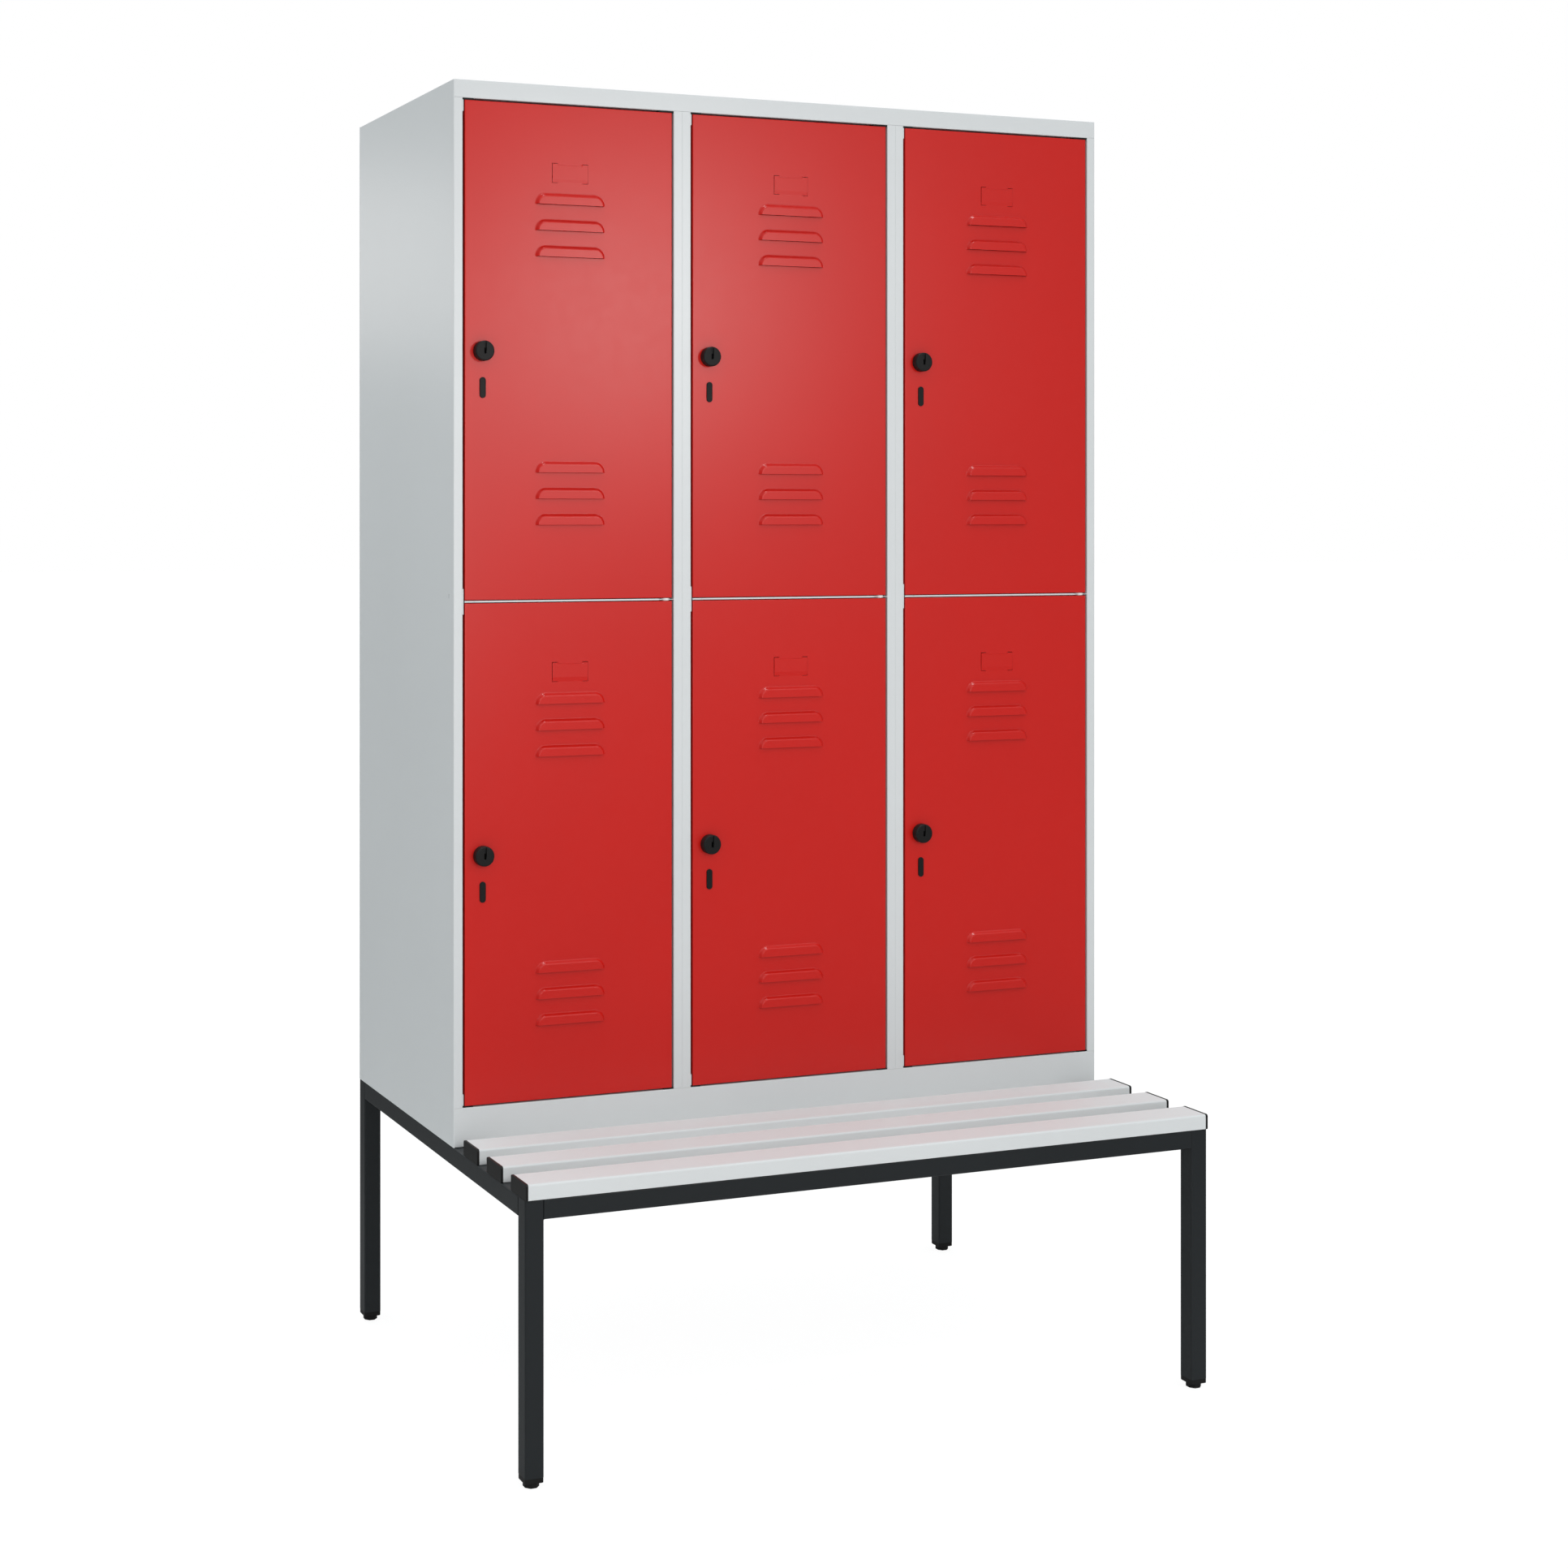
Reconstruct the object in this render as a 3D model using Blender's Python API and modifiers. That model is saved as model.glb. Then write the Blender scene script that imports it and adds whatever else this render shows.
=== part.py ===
"""Double-tier steel locker with a bench: three bays of two compartments on a tube underframe.

Metres, +Z up, the floor at Z = 0, the object's box centred on X = 0 and Y = 0.
The doors face -Y, hang on their right-hand edge and swing out over the bench.
"""
import math

import bmesh
import bpy
from mathutils import Matrix, Vector

# Every pair of pieces that touch on the real locker is drawn this far apart
GAP = 0.0003

# Sides of round pieces, pieces of each bend and of each louvre's quarter-round ends
SMALL_ROUND = 10
LARGE_ROUND = 16
GLIDE_SIDES = 8
BEND_STEPS = 2
LOUVRE_ARC_STEPS = 3

# Faces that meet at less than this angle are shaded as one
SMOOTH_ANGLE = math.radians(32)

# Cabinet shell, folded from one gauge of sheet steel
BAY_COUNT = 3
BAY_WIDTH = 0.400
CABINET_DEPTH = 0.500
CABINET_HEIGHT = 1.700
SHEET = 0.001
BEND_RADIUS = 0.0015
STILE_WIDTH = 0.0155
STILE_RETURN = 0.0195
HEADER_HEIGHT = 0.029
PLINTH_HEIGHT = 0.0625
LOWER_TIER_HEIGHT = 0.8055
REAR_LIP = 0.015
BASE_FLANGE = 0.026
SEAM_WIDTH = 0.0008
SEAM_DEPTH = 0.0005

# Shelf between the two tiers
NOSE_THICKNESS = 0.003
NOSE_DEPTH = 0.012
SHELF_UPSTAND = 0.016
SHELF_REAR_LIP = 0.012
TAB_HEIGHT = 0.009
TAB_RISE = 0.0045
TAB_SETBACK = 0.022
TAB_WIDTH = 0.002

# Doors
DOOR_DEPTH = 0.018
DOOR_LIP = 0.012
DOOR_EDGE_RADIUS = 0.001
DOOR_SIDE_GAP = 0.0035
DOOR_TOP_GAP = 0.0033
DOOR_BOTTOM_GAP = 0.0025
NOSE_GAP = 0.0011
PIVOT_INSET = 0.009
PIVOT_DEPTH = 0.008

# Louvres and label frame pressed into each door, heights from the door's lower edge
LOUVRE_WIDTH = 0.123
LOUVRE_HEIGHT = 0.0187
LOUVRE_RISE = 0.0055
LOUVRE_BORDER = 0.005
LOUVRE_PITCH = 0.0422
LOUVRES_IN_GROUP = 3
LOWER_LOUVRES_HEIGHT = 0.120
UPPER_LOUVRES_HEIGHT = 0.5525
LABEL_HEIGHT = 0.672
LABEL_FRAME_WIDTH = 0.063
LABEL_FRAME_HEIGHT = 0.032
LABEL_CLAW_WIDTH = 0.010
LABEL_CLAW_RISE = 0.0009
LABEL_FIELD_DROP = 0.003
LABEL_FIELD_RISE = 0.0004

# Turn lock and the plug over the unused hasp hole, placed from the door's lock edge and lower edge
LOCK_INSET = 0.030
LOCK_HEIGHT = 0.3975
KNOB_RADIUS = 0.0161
KNOB_PROUD = 0.0128
KNOB_RIM = 0.002
KEYWAY_WIDTH = 0.0045
KEYWAY_HEIGHT = 0.0095
KEYWAY_DEPTH = 0.007
SPINDLE_RADIUS = 0.0095
CAM_CLEARANCE = 0.001
CAM_THICKNESS = 0.002
CAM_REACH = 0.042
CAM_ARM_WIDTH = 0.014
CAM_HUB_RADIUS = 0.0105
CAM_SCREW_HEAD_RADIUS = 0.007
CAM_SCREW_HEAD_HEIGHT = 0.003
PLUG_WIDTH = 0.0103
PLUG_HEIGHT = 0.0335
PLUG_PROUD = 0.0018
PLUG_DROP = 0.0583
PLUG_RIM = 0.0012
PLUG_END_ROUNDING = 0.42
PLUG_SHANK_LENGTH = 0.005

# Hinge pins, welded to the header, the shelf's nose and the floor
PIN_RADIUS = 0.003
PIN_ENGAGEMENT = 0.006
COLLAR_RADIUS = 0.008
COLLAR_HEIGHT = 0.0044

# Coat rail in each compartment
COAT_RAIL_RADIUS = 0.009
COAT_RAIL_WALL = 0.001
COAT_RAIL_DROP = 0.065
COAT_RAIL_SETBACK = 0.250
RAIL_FLANGE_RADIUS = 0.016
RAIL_FLANGE_THICKNESS = 0.002

# Underframe of square tube
FRAME_HEIGHT = 0.425
TUBE = 0.030
TUBE_WALL = 0.002
TUBE_RADIUS = 0.0025
LEG_CLEARANCE = 0.016

# Bench slats, hollow plastic sections, and their end caps
BENCH_REACH = 0.315
FRAME_SETBACK = 0.003
SLAT_COUNT = 3
SLAT_PITCH = 0.1035
SLAT_WIDTH = 0.062
SLAT_THICKNESS = 0.0245
SLAT_WALL = 0.0025
SLAT_CHAMBERS = 2
SLAT_TOP_RADIUS = 0.0035
SLAT_FOOT_RADIUS = 0.001
CAP_THICKNESS = 0.004
CAP_SPIGOT = 0.005

# Plastic inserts and levelling glides in the legs
COLLAR_THICKNESS = 0.0075
COLLAR_CHAMFER = 0.003
SPIGOT_LENGTH = 0.022
GLIDE_RADIUS = 0.0125
GLIDE_CHAMFER = 0.0015
STUD_RADIUS = 0.005
STUD_LENGTH = 0.026

# Places that follow from the sizes
CABINET_WIDTH = BAY_COUNT * BAY_WIDTH
LEFT = -CABINET_WIDTH / 2
RIGHT = CABINET_WIDTH / 2
FRONT = (BENCH_REACH - CABINET_DEPTH) / 2
BACK = FRONT + CABINET_DEPTH
BASE = FRAME_HEIGHT + GAP
TOP = BASE + CABINET_HEIGHT
OPENING_BOTTOM = BASE + PLINTH_HEIGHT
OPENING_TOP = TOP - HEADER_HEIGHT
SHELF_LEVEL = OPENING_BOTTOM + LOWER_TIER_HEIGHT
OPENING_WIDTH = BAY_WIDTH - 2 * STILE_WIDTH
DOOR_WIDTH = OPENING_WIDTH - 2 * DOOR_SIDE_GAP
NOSE_HALF = NOSE_THICKNESS / 2
SKIN_BACK = BACK - SHEET - GAP
FRAME_FRONT = FRONT - BENCH_REACH + FRAME_SETBACK
BAY_LEFTS = [LEFT + bay * BAY_WIDTH for bay in range(BAY_COUNT)]
TIERS = {
    "lower": (OPENING_BOTTOM + DOOR_BOTTOM_GAP, SHELF_LEVEL - NOSE_HALF - NOSE_GAP),
    "upper": (SHELF_LEVEL + NOSE_HALF + NOSE_GAP, OPENING_TOP - DOOR_TOP_GAP),
}

# Lays a piece that was drawn standing on Z down so that its top faces the front
TOWARDS_FRONT = Matrix.Rotation(math.radians(90), 4, "X")


for old in list(bpy.data.objects):
    bpy.data.objects.remove(old, do_unlink=True)


def collection(name):
    """A named collection in the scene."""
    made = bpy.data.collections.new(name)
    bpy.context.scene.collection.children.link(made)
    return made


PARTS = collection("double_tier_locker_with_bench")
CUTTERS = collection("cutters")


def material(name, colour, roughness, metallic=0.0):
    """A Principled material."""
    made = bpy.data.materials.new(name)
    made.use_nodes = True
    shader = made.node_tree.nodes["Principled BSDF"]
    shader.inputs["Base Color"].default_value = (*colour, 1.0)
    shader.inputs["Roughness"].default_value = roughness
    shader.inputs["Metallic"].default_value = metallic
    return made


GREY_PAINT = material("light_grey_powder_coat", (0.60, 0.62, 0.63), 0.5)
RED_PAINT = material("red_powder_coat", (0.50, 0.018, 0.014), 0.4)
FRAME_PAINT = material("anthracite_powder_coat", (0.025, 0.028, 0.031), 0.5)
SLAT_PLASTIC = material("light_grey_plastic", (0.66, 0.65, 0.65), 0.5)
BLACK_PLASTIC = material("black_plastic", (0.018, 0.018, 0.018), 0.45)
PLATED_STEEL = material("zinc_plated_steel", (0.75, 0.75, 0.74), 0.35, 1.0)


def settled(obj):
    """The object's mesh as its modifiers leave it, in its own coordinates."""
    bpy.context.view_layer.update()
    evaluated = obj.evaluated_get(bpy.context.evaluated_depsgraph_get())
    return bpy.data.meshes.new_from_object(evaluated)


def cleaned(mesh, transform=Matrix.Identity(4)):
    """The mesh moved, with its doubled points welded and its faces turned outwards."""
    work = bmesh.new()
    work.from_mesh(mesh)
    bmesh.ops.remove_doubles(work, verts=work.verts, dist=0.00001)
    bmesh.ops.transform(work, matrix=transform, verts=work.verts)
    bmesh.ops.recalc_face_normals(work, faces=work.faces)
    work.to_mesh(mesh)
    work.free()
    return mesh


def add(name, mesh, finish, where=PARTS):
    """An object holding the mesh, with the finish, in the collection."""
    obj = bpy.data.objects.new(name, mesh)
    where.objects.link(obj)
    if finish is not None and not mesh.materials:
        mesh.materials.append(finish)
    return obj


def joined(name, meshes):
    """One mesh holding several separate solids."""
    work = bmesh.new()
    for mesh in meshes:
        work.from_mesh(mesh)
        bpy.data.meshes.remove(mesh)
    made = bpy.data.meshes.new(name)
    work.to_mesh(made)
    work.free()
    return made


def box(name, low, high, front_radius=0.0):
    """A box between two corners, the edges of its face towards -Y rounded where a radius is given."""
    work = bmesh.new()
    bmesh.ops.create_cube(work, size=1.0)
    front = [edge for edge in work.edges if all(vert.co.y < 0 for vert in edge.verts)]
    size = Vector(high) - Vector(low)
    bmesh.ops.scale(work, vec=size, verts=work.verts)
    bmesh.ops.translate(work, vec=(Vector(high) + Vector(low)) / 2, verts=work.verts)
    if front_radius > 0:
        bmesh.ops.bevel(work, geom=front, offset=front_radius, segments=2, profile=0.5, affect="EDGES")
    made = bpy.data.meshes.new(name)
    work.to_mesh(made)
    work.free()
    return made


def rounded(corners, steps=BEND_STEPS):
    """Outline points, with each corner (x, y, radius) that has a radius turned into an arc."""
    points = []
    for index, (x, y, radius) in enumerate(corners):
        here = Vector((x, y))
        if radius <= 0:
            points.append(here)
            continue
        before = (Vector(corners[index - 1][:2]) - here).normalized()
        after = (Vector(corners[(index + 1) % len(corners)][:2]) - here).normalized()
        half = before.angle(after) / 2
        centre = here + (before + after).normalized() * radius / math.sin(half)
        start = here + before * radius / math.tan(half) - centre
        end = here + after * radius / math.tan(half) - centre
        turn = start.angle_signed(end)
        for step in range(steps + 1):
            points.append(centre + Matrix.Rotation(-turn * step / steps, 2) @ start)
    return points


def rectangle(width, height, radius, foot_radius=None):
    """Corners of a rectangle centred on zero, for rounded()."""
    foot = radius if foot_radius is None else foot_radius
    return [(-width / 2, -height / 2, foot), (width / 2, -height / 2, foot),
            (width / 2, height / 2, radius), (-width / 2, height / 2, radius)]


ALONG = {
    "X": Matrix(((0, 0, 1, 0), (1, 0, 0, 0), (0, 1, 0, 0), (0, 0, 0, 1))),
    "Y": Matrix(((1, 0, 0, 0), (0, 0, -1, 0), (0, 1, 0, 0), (0, 0, 0, 1))),
    "Z": Matrix.Identity(4),
}


def extrusion(name, outlines, axis, start, end, offset=(0, 0, 0)):
    """A flat outline, and any holes after it, drawn along an axis from start to end.

    The outline's two numbers are (y, z) along X, (x, z) along Y and (x, y) along Z.
    """
    curve = bpy.data.curves.new(name, "CURVE")
    curve.dimensions = "2D"
    curve.fill_mode = "BOTH"
    curve.extrude = abs(end - start) / 2
    for outline in outlines:
        spline = curve.splines.new("POLY")
        spline.points.add(len(outline) - 1)
        for point, place in zip(spline.points, outline):
            point.co = (place[0], place[1], 0, 1)
        spline.use_cyclic_u = True
    drawn = bpy.data.objects.new(name, curve)
    CUTTERS.objects.link(drawn)
    mesh = settled(drawn)
    bpy.data.objects.remove(drawn)
    middle = Vector(offset) + Vector([(start + end) / 2 if axis == letter else 0 for letter in "XYZ"])
    return cleaned(mesh, Matrix.Translation(middle) @ ALONG[axis])


def turned(name, profile, steps, transform=Matrix.Identity(4)):
    """A solid of revolution about Z from (radius, height) points, top to bottom."""
    line = bpy.data.meshes.new(name)
    points = [(radius, 0, height) for radius, height in profile]
    line.from_pydata(points, [(index, index + 1) for index in range(len(points) - 1)], [])
    spun = bpy.data.objects.new(name, line)
    CUTTERS.objects.link(spun)
    screw = spun.modifiers.new("turn", "SCREW")
    screw.angle = math.tau
    screw.steps = steps
    screw.render_steps = steps
    screw.use_merge_vertices = True
    screw.merge_threshold = 0.00001
    mesh = settled(spun)
    bpy.data.objects.remove(spun)
    return cleaned(mesh, transform)


def combine(obj, operation, tool_mesh):
    """Cuts the tool out of the object, or unites them, with an exact Boolean."""
    tool = add(f"{obj.name}_{operation.lower()}_{len(obj.modifiers) + 1}", tool_mesh, None, CUTTERS)
    tool.parent = obj
    tool.hide_render = True
    tool.display_type = "WIRE"
    change = obj.modifiers.new(operation.lower(), "BOOLEAN")
    change.operation = operation
    change.solver = "EXACT"
    change.object = tool


def smooth(obj):
    """Shades round faces smooth and keeps folds sharp."""
    obj.data.shade_smooth()
    obj.data.set_sharp_from_angle(angle=SMOOTH_ANGLE)


def post_outline(width):
    """Plan of a partition: two skins back to back, folded apart at the front into a post this wide.

    A shallow groove down the middle of the post's face is where the two skins meet.
    """
    half, fold, groove = width / 2, SHEET, SEAM_WIDTH / 2
    front, back = FRONT, FRONT + STILE_RETURN
    right = [(groove, front, 0), (half, front, BEND_RADIUS), (half, back, 0), (half - fold, back, 0),
             (half - fold, front + fold, 0), (fold, front + fold, 0), (fold, SKIN_BACK - GAP, 0)]
    left = [(-x, y, radius) for x, y, radius in reversed(right)]
    return rounded(right + left + [(0, front + SEAM_DEPTH, 0)])


def make_side_panels():
    """Outer walls, each folded in at the front into half a post and at the back into a lip."""
    corners = [(0, FRONT, BEND_RADIUS), (STILE_WIDTH, FRONT, BEND_RADIUS),
               (STILE_WIDTH, FRONT + STILE_RETURN, 0), (STILE_WIDTH - SHEET, FRONT + STILE_RETURN, 0),
               (STILE_WIDTH - SHEET, FRONT + SHEET, 0), (SHEET, FRONT + SHEET, 0),
               (SHEET, SKIN_BACK - SHEET, 0), (REAR_LIP, SKIN_BACK - SHEET, 0),
               (REAR_LIP, SKIN_BACK, 0), (0, SKIN_BACK, 0)]
    tab_front = FRONT + TAB_SETBACK
    for name, edge, side in (("left_side_panel", LEFT, 1), ("right_side_panel", RIGHT, -1)):
        outline = [(edge + side * point.x, point.y) for point in rounded(corners)]
        panel = add(name, extrusion(name, [outline], "Z", BASE, TOP), GREY_PAINT)
        inner = sorted((edge + side * SHEET, edge + side * 2 * STILE_WIDTH))
        through = sorted((edge - side * SHEET, edge + side * 2 * SHEET))
        for low, high in ((BASE - SHEET, OPENING_BOTTOM + GAP), (OPENING_TOP - GAP, TOP + SHEET)):
            notch = box("notch", (inner[0], FRONT - SHEET, low), (inner[1], BACK, high))
            combine(panel, "DIFFERENCE", notch)
        slot = box("tab_slot", (through[0], tab_front - GAP, SHELF_LEVEL + TAB_RISE - GAP),
                   (through[1], tab_front + TAB_WIDTH + GAP, SHELF_LEVEL + TAB_RISE + TAB_HEIGHT + GAP))
        combine(panel, "DIFFERENCE", slot)
        smooth(panel)


def make_top_panel():
    """Roof folded down at the front into the header and at the back into a lip."""
    fold = OPENING_TOP
    corners = [(FRONT, TOP, BEND_RADIUS), (FRONT, fold, BEND_RADIUS), (FRONT + STILE_RETURN, fold, 0),
               (FRONT + STILE_RETURN, fold + SHEET, 0), (FRONT + SHEET, fold + SHEET, 0),
               (FRONT + SHEET, TOP - SHEET, 0), (SKIN_BACK - SHEET, TOP - SHEET, 0),
               (SKIN_BACK - SHEET, TOP - REAR_LIP, 0), (SKIN_BACK, TOP - REAR_LIP, 0), (SKIN_BACK, TOP, 0)]
    mesh = extrusion("top_panel", [rounded(corners)], "X", LEFT + SHEET + GAP, RIGHT - SHEET - GAP)
    panel = add("top_panel", mesh, GREY_PAINT)
    tip = TIERS["upper"][1] - SHEET - PIN_ENGAGEMENT
    pins = [shaft(PIN_RADIUS, x, y, tip, OPENING_TOP + 2 * SHEET) for x, y in pivots()]
    combine(panel, "UNION", joined("pins", pins))
    smooth(panel)


def make_bottom_panel():
    """Floor of the lower compartments, folded down into the plinth and its bolting flanges."""
    back = SKIN_BACK
    corners = [(FRONT, BASE, 0), (FRONT + BASE_FLANGE, BASE, 0), (FRONT + BASE_FLANGE, BASE + SHEET, 0),
               (FRONT + SHEET, BASE + SHEET, 0), (FRONT + SHEET, OPENING_BOTTOM - SHEET, 0),
               (back - SHEET, OPENING_BOTTOM - SHEET, 0), (back - SHEET, BASE + SHEET, 0),
               (back - BASE_FLANGE, BASE + SHEET, 0), (back - BASE_FLANGE, BASE, 0), (back, BASE, 0),
               (back, OPENING_BOTTOM, 0), (FRONT, OPENING_BOTTOM, BEND_RADIUS)]
    name = "bottom_panel"
    mesh = extrusion(name, [rounded(corners)], "X", LEFT + SHEET + GAP, RIGHT - SHEET - GAP)
    panel = add(name, mesh, GREY_PAINT)
    tip = TIERS["lower"][0] + SHEET + PIN_ENGAGEMENT
    pins = [shaft(PIN_RADIUS, x, y, OPENING_BOTTOM - 2 * SHEET, tip) for x, y in pivots()]
    combine(panel, "UNION", joined("pins", pins))
    smooth(panel)


def make_back_panel():
    """Plain sheet over the whole back."""
    mesh = box("back_panel", (LEFT, BACK - SHEET, BASE), (RIGHT, BACK, TOP))
    add("back_panel", mesh, GREY_PAINT)


def make_partitions():
    """Walls between the bays: two skins back to back, folded apart into a post at the front."""
    for index, x in enumerate(BAY_LEFTS[1:]):
        name = f"partition_{index + 1}"
        outline = [(x + point.x, point.y) for point in post_outline(2 * STILE_WIDTH)]
        mesh = extrusion(name, [outline], "Z", OPENING_BOTTOM + GAP, TOP - SHEET - GAP)
        wall = add(name, mesh, GREY_PAINT)
        clear = FRONT + STILE_RETURN + GAP
        notch = box("notch", (x - 2 * STILE_WIDTH, FRONT - SHEET, OPENING_TOP - GAP),
                    (x + 2 * STILE_WIDTH, clear, TOP))
        combine(wall, "DIFFERENCE", notch)
        rear = box("rear_notch", (x - STILE_WIDTH, SKIN_BACK - SHEET - GAP, TOP - REAR_LIP - GAP),
                   (x + STILE_WIDTH, BACK, TOP))
        combine(wall, "DIFFERENCE", rear)
        smooth(wall)


def make_shelves():
    """Shelf between the tiers: a hemmed nose between the doors, upstands at the walls, a rear lip."""
    back = SKIN_BACK - SHEET - 2 * GAP
    half = SHEET / 2
    for index, left in enumerate(BAY_LEFTS):
        wall_left, wall_right = left + SHEET + GAP, left + BAY_WIDTH - SHEET - GAP
        outline = [(FRONT, SHELF_LEVEL - NOSE_HALF), (FRONT + NOSE_DEPTH, SHELF_LEVEL - NOSE_HALF),
                   (FRONT + NOSE_DEPTH, SHELF_LEVEL - half), (back - SHEET, SHELF_LEVEL - half),
                   (back - SHEET, SHELF_LEVEL - SHELF_REAR_LIP), (back, SHELF_LEVEL - SHELF_REAR_LIP),
                   (back, SHELF_LEVEL + half), (FRONT + NOSE_DEPTH, SHELF_LEVEL + half),
                   (FRONT + NOSE_DEPTH, SHELF_LEVEL + NOSE_HALF), (FRONT, SHELF_LEVEL + NOSE_HALF)]
        name = f"middle_shelf_{index + 1}"
        shelf = add(name, extrusion(name, [outline], "X", wall_left, wall_right), GREY_PAINT)
        clear = FRONT + STILE_RETURN + GAP
        for inner, outer in ((left + STILE_WIDTH + GAP, wall_left - SHEET),
                             (left + BAY_WIDTH - STILE_WIDTH - GAP, wall_right + SHEET)):
            low, high = sorted((inner, outer))
            corner_cut = box("corner_cut", (low, FRONT - SHEET, SHELF_LEVEL - SHELF_UPSTAND),
                             (high, clear, SHELF_LEVEL + SHELF_UPSTAND))
            combine(shelf, "DIFFERENCE", corner_cut)
        for wall, side in ((wall_left, 1), (wall_right, -1)):
            low, high = sorted((wall, wall + side * SHEET))
            upstand = box("upstand", (low, clear + SHEET, SHELF_LEVEL),
                          (high, back, SHELF_LEVEL + SHELF_UPSTAND))
            combine(shelf, "UNION", upstand)
        ends = [(wall_left, 1)] if index == 0 else []
        ends += [(wall_right, -1)] if index == BAY_COUNT - 1 else []
        for wall, side in ends:
            low, high = sorted((wall - side * (GAP + SHEET / 2), wall + side * SHEET / 2))
            tab = box("tab", (low, FRONT + TAB_SETBACK, SHELF_LEVEL + TAB_RISE),
                      (high, FRONT + TAB_SETBACK + TAB_WIDTH, SHELF_LEVEL + TAB_RISE + TAB_HEIGHT))
            combine(shelf, "UNION", tab)
        high = TIERS["upper"][0] + SHEET + PIN_ENGAGEMENT
        low = TIERS["lower"][1] - SHEET - PIN_ENGAGEMENT
        collar_high, collar_low = SHELF_LEVEL + COLLAR_HEIGHT / 2, SHELF_LEVEL - COLLAR_HEIGHT / 2
        pin = [(0, high), (PIN_RADIUS, high), (PIN_RADIUS, collar_high), (COLLAR_RADIUS, collar_high),
               (COLLAR_RADIUS, collar_low), (PIN_RADIUS, collar_low), (PIN_RADIUS, low), (0, low)]
        combine(shelf, "UNION", turned("pin", pin, LARGE_ROUND, Matrix.Translation((*pivots()[index], 0))))
        smooth(shelf)


def shaft(radius, x, y, low, high, steps=SMALL_ROUND):
    """A plain round bar standing at (x, y)."""
    profile = [(0, high), (radius, high), (radius, low), (0, low)]
    return turned("shaft", profile, steps, Matrix.Translation((x, y, 0)))


def pivots():
    """Places in plan of the door axes."""
    inset = BAY_WIDTH - STILE_WIDTH - DOOR_SIDE_GAP - PIVOT_INSET
    return [(left + inset, FRONT + PIVOT_DEPTH) for left in BAY_LEFTS]


def make_coat_rails():
    """A tube across each compartment, flared at both ends into the flanges that hold it to the walls."""
    y = FRONT + COAT_RAIL_SETBACK
    half = BAY_WIDTH / 2 - SHEET - GAP
    inner = half - RAIL_FLANGE_THICKNESS
    profile = [(0, half), (RAIL_FLANGE_RADIUS, half), (RAIL_FLANGE_RADIUS, inner),
               (COAT_RAIL_RADIUS, inner), (COAT_RAIL_RADIUS, -inner),
               (RAIL_FLANGE_RADIUS, -inner), (RAIL_FLANGE_RADIUS, -half), (0, -half)]
    bore_radius = COAT_RAIL_RADIUS - COAT_RAIL_WALL
    bore_end = half + SHEET
    bore = [(0, bore_end), (bore_radius, bore_end), (bore_radius, -bore_end), (0, -bore_end)]
    ceilings = {"lower": SHELF_LEVEL - SHEET / 2, "upper": TOP - SHEET}
    for tier, ceiling in ceilings.items():
        for index, left in enumerate(BAY_LEFTS):
            centre = (left + BAY_WIDTH / 2, y, ceiling - COAT_RAIL_DROP)
            place = Matrix.Translation(centre) @ Matrix.Rotation(math.radians(90), 4, "Y")
            name = f"coat_rail_{tier}_{index + 1}"
            rail = add(name, turned(name, profile, SMALL_ROUND, place), PLATED_STEEL)
            combine(rail, "DIFFERENCE", turned("bore", bore, SMALL_ROUND, place))
            smooth(rail)


def hood(name, rise, inset, behind, below):
    """A pressed louvre: flat underside, quarter-round ends and a sloping border round a flat face.

    Drawn about its own middle, x along it and z up from its lower lip, standing out towards -Y.
    The inset shrinks the outline for the hollow behind it, which reaches further back and down.
    """
    radius = LOUVRE_HEIGHT - inset
    middle = LOUVRE_WIDTH / 2 - LOUVRE_HEIGHT
    turns = [math.pi / 2 * step / LOUVRE_ARC_STEPS for step in range(LOUVRE_ARC_STEPS + 1)]
    places = [(middle, turn) for turn in turns] + [(-middle, math.pi - turn) for turn in reversed(turns)]
    work = bmesh.new()
    base, face = [], []
    for centre, turn in places:
        for ring, size, y in ((base, radius, behind), (face, radius - LOUVRE_BORDER, -rise)):
            x, z = centre + size * math.cos(turn), size * math.sin(turn)
            ring.append(work.verts.new((x, y, z if z > 0.00001 else -below)))
    count = len(places)
    work.faces.new(base)
    work.faces.new(list(reversed(face)))
    for index in range(count):
        following = (index + 1) % count
        work.faces.new((base[following], base[index], face[index], face[following]))
    bmesh.ops.recalc_face_normals(work, faces=work.faces)
    made = bpy.data.meshes.new(name)
    work.to_mesh(made)
    work.free()
    return made


def door_front(x, z):
    """Shift from a louvre's or a fitting's own middle to its place on the door's front face."""
    return Matrix.Translation((x, -PIVOT_DEPTH, z))


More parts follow.
